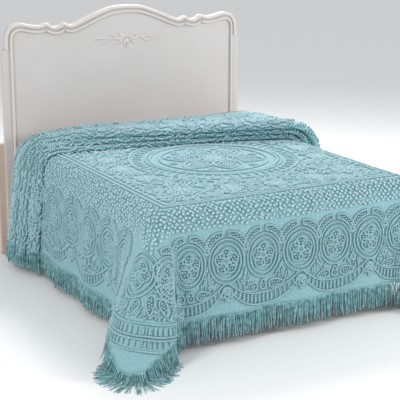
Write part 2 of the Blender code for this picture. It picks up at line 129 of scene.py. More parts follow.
# Tufts: spacing along a line and over a filled patch, and the size of one tuft. The pattern
# lies a little to the right of the bed's middle
LINE_PITCH = 0.0094
FILL_PITCH = 0.0150
TUFT_RADIUS = 0.0067
TUFT_HEIGHT = 0.0120
POM_RADIUS = 0.0088
POM_HEIGHT = 0.0092
POM_PITCH = 0.0150
TUFT_SINK = 0.0006
PATTERN_SHIFT = 0.035


def spline(x, knots, values):
    """A smooth curve through values at the knots, read at x."""
    knots = np.asarray(knots, float)
    values = np.asarray(values, float)
    slopes = np.gradient(values, knots)
    x = np.clip(x, knots[0], knots[-1])
    i = np.clip(np.searchsorted(knots, x) - 1, 0, len(knots) - 2)
    width = knots[i + 1] - knots[i]
    u = (x - knots[i]) / width
    start = (1 + 2 * u) * (1 - u) ** 2 * values[i] + u * (1 - u) ** 2 * width * slopes[i]
    end = u ** 2 * (3 - 2 * u) * values[i + 1] + u ** 2 * (u - 1) * width * slopes[i + 1]
    return start + end


def smooth_step(u):
    """Rise smoothly from 0 to 1 as u goes from 0 to 1."""
    u = np.clip(u, 0.0, 1.0)
    return u * u * (3 - 2 * u)


def rows(*columns):
    """Stack columns of numbers into rows of points."""
    return np.stack(np.broadcast_arrays(*columns), axis=-1).astype(float)


def unit(vectors):
    """Vectors of length one."""
    return vectors / np.linalg.norm(vectors, axis=-1, keepdims=True)


def travelled(points):
    """Distance travelled along a line up to each of its points."""
    return np.concatenate(([0], np.cumsum(np.linalg.norm(np.diff(points, axis=0), axis=1))))


def flap_direction(angle, side):
    """Which way the cloth hangs round a foot corner, at an angle in degrees on the cloth."""
    table = dict(zip(FLAP_COLUMNS, zip(*FLAP)))
    scale = FLAP_SCALE[side]
    out_side = spline(angle, table["angle"], table["out_side"]) * scale
    out_foot = spline(angle, table["angle"], table["out_foot"]) * scale
    return unit(rows(side * out_side, -out_foot, -1.0))


def side_direction(y, side):
    """Which way a side panel hangs, at a place along the bed."""
    near = 1 - smooth_step((y - FLAT_FOOT_Y) / SIDE_FLAP_REACH)
    wave = WAVE_SLOPE * np.sin(2 * math.pi * y / WAVE_LENGTH + side)
    lean = SIDE_LEAN[side] + wave
    corner = flap_direction(0.0, side)
    out_corner = side * corner[0] / -corner[2]
    along_corner = corner[1] / -corner[2]
    out = lean * (1 - near) + out_corner * near
    return unit(rows(side * out, along_corner * near, -1.0))


def foot_direction(x):
    """Which way the foot panel hangs, at a place across the bed."""
    side = np.where(x < 0, -1, 1)
    near = 1 - smooth_step((FLAT_HALF_WIDTH - np.abs(x)) / FOOT_FLAP_REACH)
    wave = WAVE_SLOPE * np.sin(2 * math.pi * x / WAVE_LENGTH + 0.5)
    lean = FOOT_LEAN + wave
    left = flap_direction(90.0, -1)
    right = flap_direction(90.0, 1)
    out_corner = np.where(side < 0, left[1] / left[2], right[1] / right[2])
    along_corner = np.where(side < 0, left[0] / -left[2], right[0] / -right[2])
    out = lean * (1 - near) + out_corner * near
    return unit(rows(along_corner * near, -out, -1.0))


def bend(start, outward, down, distance, lift, leg):
    """Cloth that runs outward from a start point and turns down over the mattress edge.

    A longer leg makes the bend softer, and the cloth below it is fitted to end at the same hem.
    """
    extra = leg - BEND_LEG
    straight = SIDE_DROP - BEND_LENGTH - extra
    fit = straight / (straight + extra * (2 - BEND_RATIO))
    w = np.clip(distance / (leg * BEND_RATIO), 0, 1)[..., None]
    rest = (np.clip(distance - leg * BEND_RATIO, 0, None) * fit)[..., None]
    leg = leg[..., None]
    point = start + outward * leg * (2 * w - w * w) + down * (leg * w * w + rest)
    along = unit(outward * (1 - w) + down * w)
    level = np.sum(along * outward, axis=-1, keepdims=True)
    normal = unit(-outward * along[..., 2:] + np.array((0.0, 0.0, 1.0)) * level)
    return point + normal * lift[..., None]


def fold_places(across):
    """Place along the bed of each turn of the cloth, at a distance across it."""
    return [spline(across, FOLD_ACROSS, row[1:]) for row in FOLDS]


def fold_turns():
    """Direction, radius and lower height of each turn, from the bottom fold up."""
    turns = []
    for index, row in enumerate(FOLDS[:-1]):
        pleat = index // 2
        if row[0] == "front":
            turns.append((-1, FRONT_RADIUS, FIRST_LIFT + pleat * PLEAT_PITCH))
        else:
            low = 0.0 if pleat == 0 else pleat * PLEAT_PITCH - BACK_RADIUS
            turns.append((1, BACK_RADIUS, low))
    return turns


def fold_lengths():
    """Length of each turn and each layer past the first, along the middle of the cloth."""
    middle = fold_places(0.0)
    lengths = []
    for index, (_, radius, _) in enumerate(fold_turns()):
        lengths.append(math.pi * radius)
        lengths.append(abs(float(middle[index + 1] - middle[index])))
    return lengths


MAIN_LENGTH = FOLDS[0][4] - FLAT_FOOT_Y
CLOTH_END = MAIN_LENGTH + sum(fold_lengths())


def head_section(across, along):
    """Place along the bed, and height over the first layer, of cloth past the foot bend."""
    places = fold_places(across)
    turns = fold_turns()
    stretch_from = STRETCH_FROM_Y - FLAT_FOOT_Y
    back = places[0] - BACK_RADIUS
    share = (along - stretch_from) / (MAIN_LENGTH - stretch_from)
    y = np.where(share > 0, STRETCH_FROM_Y + (back - STRETCH_FROM_Y) * share, along + FLAT_FOOT_Y)
    lift = np.zeros_like(y)
    begin = MAIN_LENGTH
    for index, length in enumerate(fold_lengths()):
        here = along > begin
        u = np.clip((along - begin) / length, 0, 1)
        facing, radius, low = turns[index // 2]
        centre = places[index // 2] - facing * radius
        if index % 2 == 0:
            turn_y = centre + facing * radius * np.sin(math.pi * u)
            turn_lift = low + radius - radius * np.cos(math.pi * u)
        else:
            last = index // 2 + 1 == len(turns)
            to_facing, to_radius, to_low = (1, 0.0, HEM_LIFT) if last else turns[index // 2 + 1]
            target = places[index // 2 + 1] - to_facing * to_radius
            turn_y = centre + (target - centre) * u
            turn_lift = low + 2 * radius + (to_low - low - 2 * radius) * u
        y = np.where(here, turn_y, y)
        lift = np.where(here, turn_lift, lift)
        begin += length
    return y, lift * spline(across, FOLD_ACROSS, SWELL)


def softer_edge(across, y):
    """How much longer the bend over the mattress edge is, at a place on the bed."""
    return np.where(across < 0, SOFT_EDGE, 0.0) * smooth_step((y - SOFT_FROM_Y) / SOFT_LENGTH)


def drape(across, along):
    """Where a point of the flat cloth lies, and which way the cloth hangs there."""
    across = np.asarray(across, float)
    along = np.asarray(along, float)
    side = np.where(across < 0, -1.0, 1.0)
    y, lift = head_section(across, np.clip(along, 0, None))
    softer = softer_edge(across, y)
    flat = FLAT_HALF_WIDTH - softer
    past_side = np.clip(np.abs(across) - flat, 0, None)
    past_foot = np.clip(-along, 0, None)
    x = np.clip(across, -flat, flat)
    angle = np.arctan2(past_foot, past_side + 1e-12)
    outward = rows(side * np.cos(angle), -np.sin(angle), 0.0)
    on_side = (past_side > 0) & (past_foot == 0)
    in_corner = (past_side > 0) & (past_foot > 0)
    degrees = np.degrees(angle)
    down = foot_direction(x)
    for sign in (-1, 1):
        mine = (side == sign)[..., None]
        down = np.where(mine & on_side[..., None], side_direction(y, sign), down)
        down = np.where(mine & in_corner[..., None], flap_direction(degrees, sign), down)
    start = rows(x, y, CLOTH_TOP)
    return bend(start, outward, down, np.hypot(past_side, past_foot), lift, BEND_LEG + softer), down


def follow_edge(across, along):
    """Move a line of the grid in or out, so that the same lines bound the softer bend."""
    y = head_section(across, np.clip(along, 0, None))[0]
    softer = softer_edge(across, y)
    begin = FLAT_HALF_WIDTH - softer
    end = begin + (BEND_LEG + softer) * BEND_RATIO
    past = np.abs(across) - FLAT_HALF_WIDTH
    turn = begin + (end - begin) * past / BEND_LENGTH
    fall = (past - BEND_LENGTH) / (SIDE_DROP - BEND_LENGTH)
    drop = end + (FLAT_HALF_WIDTH + SIDE_DROP - end) * fall
    moved = np.where(past > BEND_LENGTH, drop, turn)
    moved = np.where(past < 0, np.abs(across) * begin / FLAT_HALF_WIDTH, moved)
    return np.where(across < 0, -moved, moved)


def hem_scale(ratio):
    """How far the rounded corner of the hem lies, compared with the square one."""
    radius = HEM_CORNER_RADIUS / FOOT_DROP
    flat = 1 - radius
    corner = flat * (1 + ratio)
    square = 1 + ratio ** 2
    root = np.sqrt(np.clip(corner ** 2 - square * (2 * flat ** 2 - radius ** 2), 0, None))
    return np.where(ratio > flat, (corner + root) / square, 1.0)


def corner_reach(across, along):
    """Shares of the way to the side hem and the foot hem, the larger one, and their ratio."""
    a = np.clip(np.abs(across) - FLAT_HALF_WIDTH, 0, None) / SIDE_DROP
    b = np.clip(-along, 0, None) / FOOT_DROP
    reach = np.maximum(a, b)
    return a, b, reach, np.minimum(a, b) / np.maximum(reach, 1e-9)


def round_corner(across, along):
    """Pull a point of the square cloth in, so that the hem is round at the foot corners."""
    a, b, reach, ratio = corner_reach(across, along)
    pull = 1 + (hem_scale(ratio) - 1) * reach ** 2
    side = np.where(across < 0, -1.0, 1.0)
    across = np.where(a > 0, side * (FLAT_HALF_WIDTH + a * pull * SIDE_DROP), across)
    along = np.where(b > 0, -b * pull * FOOT_DROP, along)
    return across, along


# Soft creases in the cloth: start and end on the flat cloth, width and height of each
CREASES = (
    ((-0.30, -0.20), (-0.36, -0.58), 0.050, 0.008),
    ((0.10, -0.22), (0.06, -0.60), 0.060, 0.007),
    ((0.46, -0.24), (0.50, -0.60), 0.055, 0.008),
    ((-0.88, 0.30), (-1.30, 0.24), 0.050, 0.010),
    ((-0.90, 0.62), (-1.30, 0.66), 0.060, 0.007),
    ((-0.90, 0.95), (-1.30, 0.92), 0.060, 0.007),
    ((0.90, 0.22), (1.30, 0.18), 0.050, 0.010),
    ((0.90, 0.60), (1.30, 0.64), 0.060, 0.007),
    ((-0.20, 0.30), (0.42, 0.20), 0.060, -0.003),
    ((-0.55, 0.55), (-0.30, 1.02), 0.050, -0.003),
    ((0.40, 0.60), (0.56, 1.10), 0.050, -0.003),
)


def crease_height(across, along):
    """How far the soft creases raise the cloth at a point."""
    height = np.zeros(np.shape(across))
    for (a0, b0), (a1, b1), width, rise in CREASES:
        run = np.array((a1 - a0, b1 - b0))
        length = np.linalg.norm(run)
        da = across - a0
        db = along - b0
        t = (da * run[0] + db * run[1]) / length ** 2
        off = (da * run[1] - db * run[0]) / length
        ends = smooth_step((t + 0.25) / 0.35) * smooth_step((1.25 - t) / 0.35)
        height += rise * ends * np.exp(-(off / width) ** 2)
    return height


def roll_height(across, along):
    """How far the strip that shows behind each fold's front swells up."""
    places = fold_places(across)
    lengths = fold_lengths()
    height = np.zeros(np.shape(across))
    for index in FRONTS:
        begin = MAIN_LENGTH + sum(lengths[:2 * index + 1])
        share = (along - begin) / lengths[2 * index + 1]
        behind = share * (places[index + 1] - places[index])
        later = [places[i] for i in FRONTS if i > index]
        room = np.min(later, axis=0) - places[index] if later else np.full(np.shape(across), ROLL_WIDTH)
        width = np.clip(room, 0.03, ROLL_WIDTH)
        here = (share > 0) & (share < 1) & (behind < width)
        swell = ROLL_HEIGHT * np.clip(room / 0.08, 0, 1) * np.sin(math.pi * np.clip(behind / width, 0, 1))
        height += np.where(here, swell, 0)
    return height


def cloth_points(across, along):
    """Points and face normals of the creased cloth at points of the flat cloth."""
    step = 0.0015
    point = drape(across, along)[0]
    over = drape(across + step, along)[0] - drape(across - step, along)[0]
    up = drape(across, along + step)[0] - drape(across, along - step)[0]
    normal = unit(np.cross(over, up))
    height = crease_height(across, along) + roll_height(across, along)
    return point + normal * height[..., None], normal


def across_lines():
    """Distances across the cloth of the grid's lines, from the left hem to the right hem."""
    drop = np.linspace(SIDE_DROP, BEND_LENGTH, DROP_STEPS + 1)
    turn = np.linspace(BEND_LENGTH, 0, BEND_STEPS + 1)[1:]
    past = np.concatenate((drop, turn)) + FLAT_HALF_WIDTH
    top = np.linspace(-FLAT_HALF_WIDTH, FLAT_HALF_WIDTH, TOP_STEPS + 1)[1:-1]
    return np.concatenate((-past, top, past[::-1]))


def along_lines():
    """Distances along the cloth of the grid's lines, from the foot hem to the head hem."""
    drop = np.linspace(-FOOT_DROP, -BEND_LENGTH, DROP_STEPS + 1)
    turn = np.linspace(-BEND_LENGTH, 0, BEND_STEPS + 1)[1:]
    stretch_from = STRETCH_FROM_Y - FLAT_FOOT_Y
    lines = [drop, turn, np.linspace(0, stretch_from, LENGTH_STEPS + 1)[1:]]
    lines.append(np.linspace(stretch_from, MAIN_LENGTH, STRETCH_STEPS + 1)[1:])
    begin = MAIN_LENGTH
    for index, length in enumerate(fold_lengths()):
        steps = TURN_STEPS if index % 2 == 0 else LAYER_STEPS
        lines.append(np.linspace(begin, begin + length, steps + 1)[1:])
        begin += length
    return np.concatenate(lines)


# Colours and materials

# Marks in a metre of each pattern, with the real distance between them. What is too fine to
# show, such as threads and fibres, is drawn coarser, and the comment says for what
PUCKERS = 75.0  # 13 mm, where the tufts pull the ground
GROUND_THREADS = 330.0  # 3 mm for threads of 1 mm
PILE_FIBRES = 420.0  # 2.4 mm for fibres of 0.3 mm
YARN_PLIES = 260.0  # 3.8 mm, one turn of the twist
YARN_LOCK_SHADE = 45.0  # 22 mm, painted shade between the yarns of one lock
PAINT_WEAR = 3.5  # 290 mm, the worn and warm places
BRUSH_MARKS = 160.0  # 6 mm, the marks of a brush
SHEET_DENT_SHADE = 9.0  # 110 mm, painted shade of soft dents
SHEET_THREADS = 700.0  # 1.4 mm for threads of 0.4 mm
TICKING_THREADS = 500.0  # 2 mm for threads of 0.7 mm


def colour(code):
    """A linear colour from an sRGB hex code."""
    values = [int(code[i:i + 2], 16) / 255 for i in (1, 3, 5)]
    return [v / 12.92 if v <= 0.04045 else ((v + 0.055) / 1.055) ** 2.4 for v in values] + [1.0]


def new_material(name, base, roughness, sheen=0.0):
    """A Principled material, its node tree and its shader node."""
    mat = bpy.data.materials.new(name)
    mat.use_nodes = True
    shader = mat.node_tree.nodes["Principled BSDF"]
    shader.inputs["Base Color"].default_value = colour(base)
    shader.inputs["Roughness"].default_value = roughness
    shader.inputs["Sheen Weight"].default_value = sheen
    return mat, mat.node_tree, shader


def feed(tree, socket, value):
    """Link a socket to an input, or set the input's value."""
    if isinstance(value, bpy.types.NodeSocket):
        tree.links.new(value, socket)
    else:
        socket.default_value = value


def add_node(tree, kind, settings=None, **inputs):
    """A node with its settings, and its inputs given by name as values or sockets."""
    node = tree.nodes.new(kind)
    for key, value in (settings or {}).items():
        setattr(node, key, value)
    for key, value in inputs.items():
        feed(tree, node.inputs[key], value)
    return node


def maths(tree, operation, *values, clamp=False):
    """The result of a maths node."""
    node = add_node(tree, "ShaderNodeMath", {"operation": operation, "use_clamp": clamp})
    for socket, value in zip(node.inputs, values):
        feed(tree, socket, value)
    return node.outputs[0]


def noise(tree, place, scale, detail=2.0):
    """A noise pattern over places, from 0 to 1."""
    return add_node(tree, "ShaderNodeTexNoise", Vector=place, Scale=scale, Detail=detail).outputs["Fac"]


def on_object(tree):
    """Places in the piece's own coordinates."""
    return add_node(tree, "ShaderNodeTexCoord").outputs["Object"]


def shade_between(tree, shader, factor, low, high):
    """Colour the shader between two colours."""
    mix = add_node(tree, "ShaderNodeMix", {"data_type": "RGBA"}, Factor=factor)
    mix.inputs[6].default_value = colour(low)
    mix.inputs[7].default_value = colour(high)
    tree.links.new(mix.outputs[2], shader.inputs["Base Color"])


def raise_by(tree, shader, height, distance, strength=0.6):
    """Feed a height pattern, in metres times distance, to the shader's normal."""
    bump = add_node(tree, "ShaderNodeBump", Height=height, Distance=distance, Strength=strength)
    tree.links.new(bump.outputs["Normal"], shader.inputs["Normal"])


def ground_material():
    """Puckered cotton ground weave: matt, darker than the pile's tips as painted shade under the pile, and a
    little lighter where the puckers rise.
    """
    mat, tree, shader = new_material("woven_cotton_ground", "#8FC0C6", 0.95, 0.15)
    place = add_node(tree, "ShaderNodeUVMap", {"uv_map": "flat_cloth"}).outputs["UV"]
    pucker = noise(tree, place, PUCKERS, 3.0)
    weave = noise(tree, place, GROUND_THREADS)
    # Darker than the pile's tips as painted shade under the pile; lighter where the puckers rise
    shade_between(tree, shader, pucker, "#74A6AC", "#9FC6CC")
    raise_by(tree, shader, maths(tree, "MULTIPLY_ADD", weave, 0.35, pucker), 0.007, 0.8)
    return mat


def tuft_material(name, root, tip):
    """Cut cotton pile, soft with sheen: its colour is painted shade, dark at the root down in the pile and
    pale at the tips where the light falls.
    """
    mat, tree, shader = new_material(name, tip, 1.0, 0.35)
    shader.inputs["Sheen Roughness"].default_value = 0.6
    height = add_node(tree, "ShaderNodeAttribute", {"attribute_name": "pile"}).outputs["Fac"]
    fuzz = noise(tree, on_object(tree), PILE_FIBRES)
    # Colour from the shaded root to the lit tip by the tuft's height, with fine fuzz: painted shade
    level = maths(tree, "SUBTRACT", maths(tree, "MULTIPLY_ADD", fuzz, 0.5, height), 0.25, clamp=True)
    shade_between(tree, shader, level, root, tip)
    raise_by(tree, shader, fuzz, 0.003)
    return mat


def yarn_material():
    """Plied cotton yarn of the fringe: matt, with painted shade between the plies and between the yarns of a
    lock.
    """
    mat, tree, shader = new_material("plied_cotton_yarn", "#79AEB3", 0.95, 0.2)
    place = on_object(tree)
    ply = noise(tree, place, YARN_PLIES)
    lock_shade = noise(tree, place, YARN_LOCK_SHADE, 1.0)
    ramp = add_node(tree, "ShaderNodeMapRange", Value=maths(tree, "MULTIPLY", ply, lock_shade))
    ramp.inputs["From Min"].default_value = 0.12
    ramp.inputs["From Max"].default_value = 0.38
    # Dark between the plies and between the yarns of a lock: painted shade
    shade_between(tree, shader, ramp.outputs[0], "#3F7A80", "#9CCACE")
    raise_by(tree, shader, ply, 0.003)
    return mat


def smooth_material(name, base, other, finish, wear_and_shade, grain):
    """Paint or sheeting that changes softly between two colours, with a fine grain raised on it.

    The finish is roughness and sheen, wear_and_shade the scale and detail of the soft change of colour, which
    is wear on paint and painted shade on sheeting, and grain the scale and height of the grain.
    """
    mat, tree, shader = new_material(name, base, *finish)
    place = on_object(tree)
    shade_between(tree, shader, noise(tree, place, *wear_and_shade), base, other)
    raise_by(tree, shader, noise(tree, place, grain[0]), grain[1], 0.5)
    return mat


def paint_material(name, base, warm):
    """Brushed satin paint on wood: even, with faint warm wear."""
    return smooth_material(name, base, warm, (0.5, 0.0), (PAINT_WEAR, 3.0), (BRUSH_MARKS, 0.0006))


def linen_material(name, base, light, threads):
    """Smooth woven cotton sheeting with a fine even weave, its colour changing softly between two tones as
    painted shade of soft dents.
    """
    return smooth_material(name, base, light, (0.9, 0.2), (SHEET_DENT_SHADE, 2.0), (threads, 0.001))


# Building and finishing pieces

def new_object(name, mesh, mat):
    """A mesh object at the origin with one material."""
    obj = bpy.data.objects.new(name, mesh)
    bpy.context.scene.collection.objects.link(obj)
    if mat is not None:
        mesh.materials.clear()
        mesh.materials.append(mat)
    return obj


def made_plain(obj, mat):
    """Turn an object with live modifiers into a plain mesh piece."""
    depsgraph = bpy.context.evaluated_depsgraph_get()
    mesh = bpy.data.meshes.new_from_object(obj.evaluated_get(depsgraph))
    name = obj.name
    old = obj.data
    bpy.data.objects.remove(obj)
    if isinstance(old, bpy.types.Mesh):
        bpy.data.meshes.remove(old)
    else:
        bpy.data.curves.remove(old)
    return new_object(name, mesh, mat)


def build_cloth(mat):
    """The draped cloth on a fine grid, with its flat layout kept as its UV map."""
    across, along = np.meshgrid(across_lines(), along_lines())
    across, along = round_corner(follow_edge(across, along), along)
    points, normals = cloth_points(across, along)
    index = np.arange(across.size).reshape(across.shape)
    quads = rows(index[:-1, :-1], index[:-1, 1:], index[1:, 1:], index[1:, :-1]).astype(int)
    mesh = bpy.data.meshes.new("bedspread_cloth")
    mesh.from_pydata(points.reshape(-1, 3).tolist(), [], quads.reshape(-1, 4).tolist())
    layer = mesh.uv_layers.new(name="flat_cloth")
    corners = np.zeros(len(mesh.loops), dtype=int)
    mesh.loops.foreach_get("vertex_index", corners)
    flat = rows(across.ravel(), along.ravel())[corners]
    layer.data.foreach_set("uv", flat.ravel())
    mesh.shade_smooth()
    obj = new_object("bedspread_cloth", mesh, mat)
    shell = obj.modifiers.new("thickness", "SOLIDIFY")
    shell.thickness = CLOTH_THICK
    shell.offset = 0.0
    return made_plain(obj, mat)


# Laying out the pattern on the flat cloth

PETALS = 5


def stroke(points, pitch=LINE_PITCH):
    """Even places along a line through points."""
    points = np.asarray(points, float)
    travel = travelled(points)
    count = max(2, int(round(travel[-1] / pitch)) + 1)
    at = np.linspace(0, travel[-1], count)
    return rows(np.interp(at, travel, points[:, 0]), np.interp(at, travel, points[:, 1]))


def turned(points, centre, angle):
    """Points turned by an angle in degrees and moved to a centre."""
    c = math.cos(math.radians(angle))
    s = math.sin(math.radians(angle))
    points = np.asarray(points, float)
    x = points[:, 0] * c - points[:, 1] * s + centre[0]
    y = points[:, 0] * s + points[:, 1] * c + centre[1]
    return rows(x, y)


def oval(centre, half_width, half_length, angle=0.0, steps=48):
    """A closed oval line."""
    t = np.linspace(0, 2 * math.pi, steps + 1)
    return turned(rows(half_width * np.cos(t), half_length * np.sin(t)), centre, angle)


def leaf(base, length, width, angle):
    """A closed leaf line that starts at a base point and points along an angle."""
    t = np.linspace(0, 2 * math.pi, 33)
    x = length * (1 - np.cos(t)) / 2
    y = width / 2 * np.sin(t) * (1.0 + 0.35 * np.cos(t))
    return turned(rows(x, y), base, angle)


def inside(points, outline):
    """Which points lie inside a closed line."""
    x, y = points[:, 0], points[:, 1]
    found = np.zeros(len(points), bool)
    for (x0, y0), (x1, y1) in zip(outline[:-1], outline[1:]):
        if y0 == y1:
            continue
        crosses = (y0 > y) != (y1 > y)
        found ^= crosses & (x < (x1 - x0) * (y - y0) / (y1 - y0) + x0)
    return found


def patch(outline, pitch=FILL_PITCH, shrink=0.85):
    """Staggered places that fill the inside of a closed line."""
    outline = np.asarray(outline, float)
    middle = outline[:-1].mean(axis=0)
    outline = middle + (outline - middle) * shrink
    low, high = outline.min(axis=0), outline.max(axis=0)
    row_pitch = pitch * 0.87
    places = []
    for row, y in enumerate(np.arange(low[1], high[1] + row_pitch, row_pitch)):
        shift = pitch / 2 * (row % 2)
        x = np.arange(low[0] + shift, high[0] + pitch, pitch)
        places.append(rows(x, np.full_like(x, y)))
    places = np.concatenate(places)
    return places[inside(places, outline)]


def filled(outline, shrink=0.7):
    """A closed line, and the pile inside it."""
    return [stroke(outline), patch(outline, shrink=shrink)]


def flower(centre, size, angle=90.0):
    """Five petals round a small ring, each petal outlined and filled with pile."""
    parts = [stroke(oval(centre, size * 0.20, size * 0.20, steps=16))]
    parts.append(np.array([centre]))
    width = size * 1.35 * math.sin(math.pi / PETALS) * 1.2
    for k in range(PETALS):
        way = angle + 360 * k / PETALS
        start = turned([(size * 0.24, 0)], centre, way)[0]
        parts += filled(leaf(start, size * 0.76, width, way))
    return parts


def sprig(base, length, width, angle):
    """A leaf outline with a line of short stitches along its middle."""
    parts = [stroke(leaf(base, length, width, angle))]
    vein = turned([(length * 0.2, 0), (length * 0.8, 0)], base, angle)
    parts.append(stroke(vein, LINE_PITCH * 1.6))
    return parts


# Medallion: its rings, its bars between two distances from the middle, and its leaves
RING_RADII = (0.305, 0.362, 0.384, 0.478)
RING_BARS = 54
RING_BAR_ENDS = [(0.415, 0), (0.452, 0)]
MEDALLION_REACH = 0.485


def medallion():
    """Double rings, a ring of short bars and a six-leaved flower, about the origin."""
    parts = [stroke(oval((0, 0), radius, radius, steps=96)) for radius in RING_RADII]
    parts += [stroke(turned(RING_BAR_ENDS, (0, 0), 360 * k / RING_BARS)) for k in range(RING_BARS)]
    parts.append(stroke(oval((0, 0), 0.062, 0.062, steps=32)))
    parts += flower((0, 0), 0.052)
    for way in range(30, 390, 60):
        parts.append(stroke(leaf(turned([(0.075, 0)], (0, 0), way)[0], 0.205, 0.150, way)))
        parts += filled(leaf(turned([(0.105, 0)], (0, 0), way)[0], 0.135, 0.085, way))
        tip = turned([(0.255, 0)], (0, 0), way + 30)[0]
        parts.append(stroke(oval(tip, 0.020, 0.020, steps=12)))
    return np.concatenate(parts)


# Field: its double line, and the flowers, leaves and curls of one quarter about its middle
FIELD_HALF_WIDTH = 0.668
FIELD_HALF_LENGTH = 0.770
FIELD_MIDDLE = 0.785
FIELD_FLOWERS = (((0.505, 0.565), 0.088, 90), ((0.545, 0.235), 0.062, 54), ((0.255, 0.640), 0.062, 18))
MIDDLE_FLOWERS = (((0.0, 0.655), 90), ((0.0, -0.655), -90), ((0.575, 0.0), 0), ((-0.575, 0.0), 180))
# Base, length, width and angle of each leaf
FIELD_LEAVES = (
    ((0.420, 0.640), 0.115, 0.050, 158), ((0.595, 0.470), 0.110, 0.048, -82),
    ((0.425, 0.505), 0.105, 0.050, 222), ((0.395, 0.395), 0.100, 0.046, 60),
    ((0.505, 0.330), 0.095, 0.044, 200), ((0.610, 0.190), 0.105, 0.046, -100),
    ((0.530, 0.140), 0.090, 0.042, -70), ((0.160, 0.560), 0.100, 0.044, 12),
    ((0.190, 0.690), 0.110, 0.044, 172), ((0.330, 0.560), 0.090, 0.042, -40),
    ((0.345, 0.700), 0.100, 0.040, 2), ((0.610, 0.720), 0.080, 0.040, -135),
)
# Middle, sweep in degrees, size and first angle of each curl
FIELD_CURLS = (
    ((0.440, 0.270), 300, 0.045, 20), ((0.300, 0.470), 300, 0.045, 110),
    ((0.610, 0.350), 280, 0.038, 200), ((0.080, 0.620), 300, 0.040, 60),
)


def corner_scrolls():
    """Flowers, leaves and curls of one quarter of the field, about the field's middle."""
    parts = []
    for centre, size, angle in FIELD_FLOWERS:
        parts += flower(centre, size, angle)
    for base, length, width, angle in FIELD_LEAVES:
        parts += sprig(base, length, width, angle)
    t = np.linspace(0, 1, 25)
    for start, sweep, size, turn in FIELD_CURLS:
        way = np.radians(turn + sweep * t)
        radius = size * (1 - 0.65 * t)
        parts.append(stroke(rows(start[0] + radius * np.cos(way), start[1] + radius * np.sin(way))))
    return np.concatenate(parts)


def field_parts():
    """Four mirrored quarters round the medallion, and a flower between each two."""
    quarter = corner_scrolls()
    parts = [quarter * (sx, sy) for sx in (-1, 1) for sy in (-1, 1)]
    for centre, angle in MIDDLE_FLOWERS:
        parts += flower(centre, 0.060, angle)
    return np.concatenate(parts)


def field_frame():
    """The double line round the field, as far as the head folds."""
    parts = []
    for grow in (0.0, 0.026):
        w = FIELD_HALF_WIDTH + grow
        h = FIELD_HALF_LENGTH + grow
        parts.append(stroke([(-w, -h), (w, -h), (w, h), (-w, h), (-w, -h)]))
    return np.concatenate(parts)


def short_bars(taken, low, high, pitch, clear, seed, level=0.0):
    """Short bars of pile that fill what is left of a rectangle round the taken places.

    They stand a pitch apart, clear of what is taken, and lie within 25 degrees of level.
    """
    random = np.random.default_rng(seed)
    tree = kdtree.KDTree(len(taken))
    for index, (x, y) in enumerate(taken):
        tree.insert((x, y, 0.0), index)
    tree.balance()
    places = []
    for row, y in enumerate(np.arange(low[1], high[1], pitch * 0.72)):
        for x in np.arange(low[0] + pitch * 0.5 * (row % 2), high[0], pitch):
            centre = (x + random.uniform(-0.2, 0.2) * pitch, y + random.uniform(-0.2, 0.2) * pitch)
            way = level + random.uniform(-25, 25)
            bar = stroke(turned([(-1.1 * LINE_PITCH, 0), (1.1 * LINE_PITCH, 0)], centre, way))
            near = min(tree.find((px, py, 0.0))[2] for px, py in bar)
            if near > clear:
                places.append(bar)
    return np.concatenate(places)


# Border: distances down the hanging cloth from where its bend starts
OVAL_PITCH = {"foot": 0.2185, "side": 0.2345}
OVAL_MIDDLE = 0.340
OVAL_HALF_WIDTH = 0.098
OVAL_HALF_LENGTH = 0.112
OVAL_BOTTOM = OVAL_MIDDLE + OVAL_HALF_LENGTH
SIDE_STRETCH = 0.012
SIDE_SHIFT = 0.178
CORNER_OVAL_OUT = 0.365
CORNER_OVAL_ANGLE = 36.0
# Loose corner: distance out and sag of each line of its swag, and the two rows of bars between
CORNER_SWAG_LINES = ((0.560, 0.030), (0.608, 0.040), (0.622, 0.042), (0.668, 0.050))
CORNER_SWAG_BARS = ((0.573, 0.597), (0.634, 0.656))
# Angle round the corner, distance out, length and turn of each of its leaves
CORNER_LEAVES = (
    (42, 0.485, 0.085, 35), (56, 0.470, 0.085, -30), (49, 0.455, 0.095, 0), (28, 0.500, 0.075, 45),
    (70, 0.480, 0.080, -45), (52, 0.300, 0.085, 0), (60, 0.400, 0.070, 15), (16, 0.440, 0.080, 10),
)


def double_oval(middle, half, angle, flower_angle):
    """Two ovals, one in the other, round a flower."""
    parts = []
    for shrink in (1.0, 0.80):
        parts.append(stroke(oval(middle, half * shrink, OVAL_HALF_LENGTH * shrink, angle)))
    return parts + flower(middle, half * 0.68, flower_angle)


# Crown leaves: the angles of their ends from the top, and how far out, in ovals, they lie
CROWN_ANGLES = (8, 70)
CROWN_OUTER = 1.34
CROWN_INNER = 1.14


def border_motif(pitch, stretch):
    """One double oval with its flower, and its crown of two leaves."""
    half = OVAL_HALF_WIDTH * pitch / OVAL_PITCH["foot"]
    middle = (0.0, OVAL_MIDDLE + stretch)
    parts = double_oval(middle, half, 0.0, -90)
    t = np.linspace(0, 1, 20)
    outer = CROWN_OUTER + 0.10 * np.sin(math.pi * t)
    reach = np.concatenate((outer, np.full(20, CROWN_INNER), [CROWN_OUTER]))
    for side in (-1, 1):
        way = np.radians(-90 + side * (CROWN_ANGLES[0] + (CROWN_ANGLES[1] - CROWN_ANGLES[0]) * t))
        way = np.concatenate((way, way[::-1], way[:1]))
        x = reach * np.cos(way)
        y = reach * np.sin(way)
        parts += filled(rows(x * half, y * OVAL_HALF_LENGTH + middle[1]), 0.9)
    return parts


def swag_top(t):
    """How far a swag's upper line hangs down, from -1 to 1 between its two ends."""
    return 0.004 + 0.078 * (1 - np.abs(t) ** 2.4)


def swag_low(t):
    """How far a swag's lower line hangs down."""
    return 0.022 + 0.118 * (1 - np.abs(t) ** 2.6)


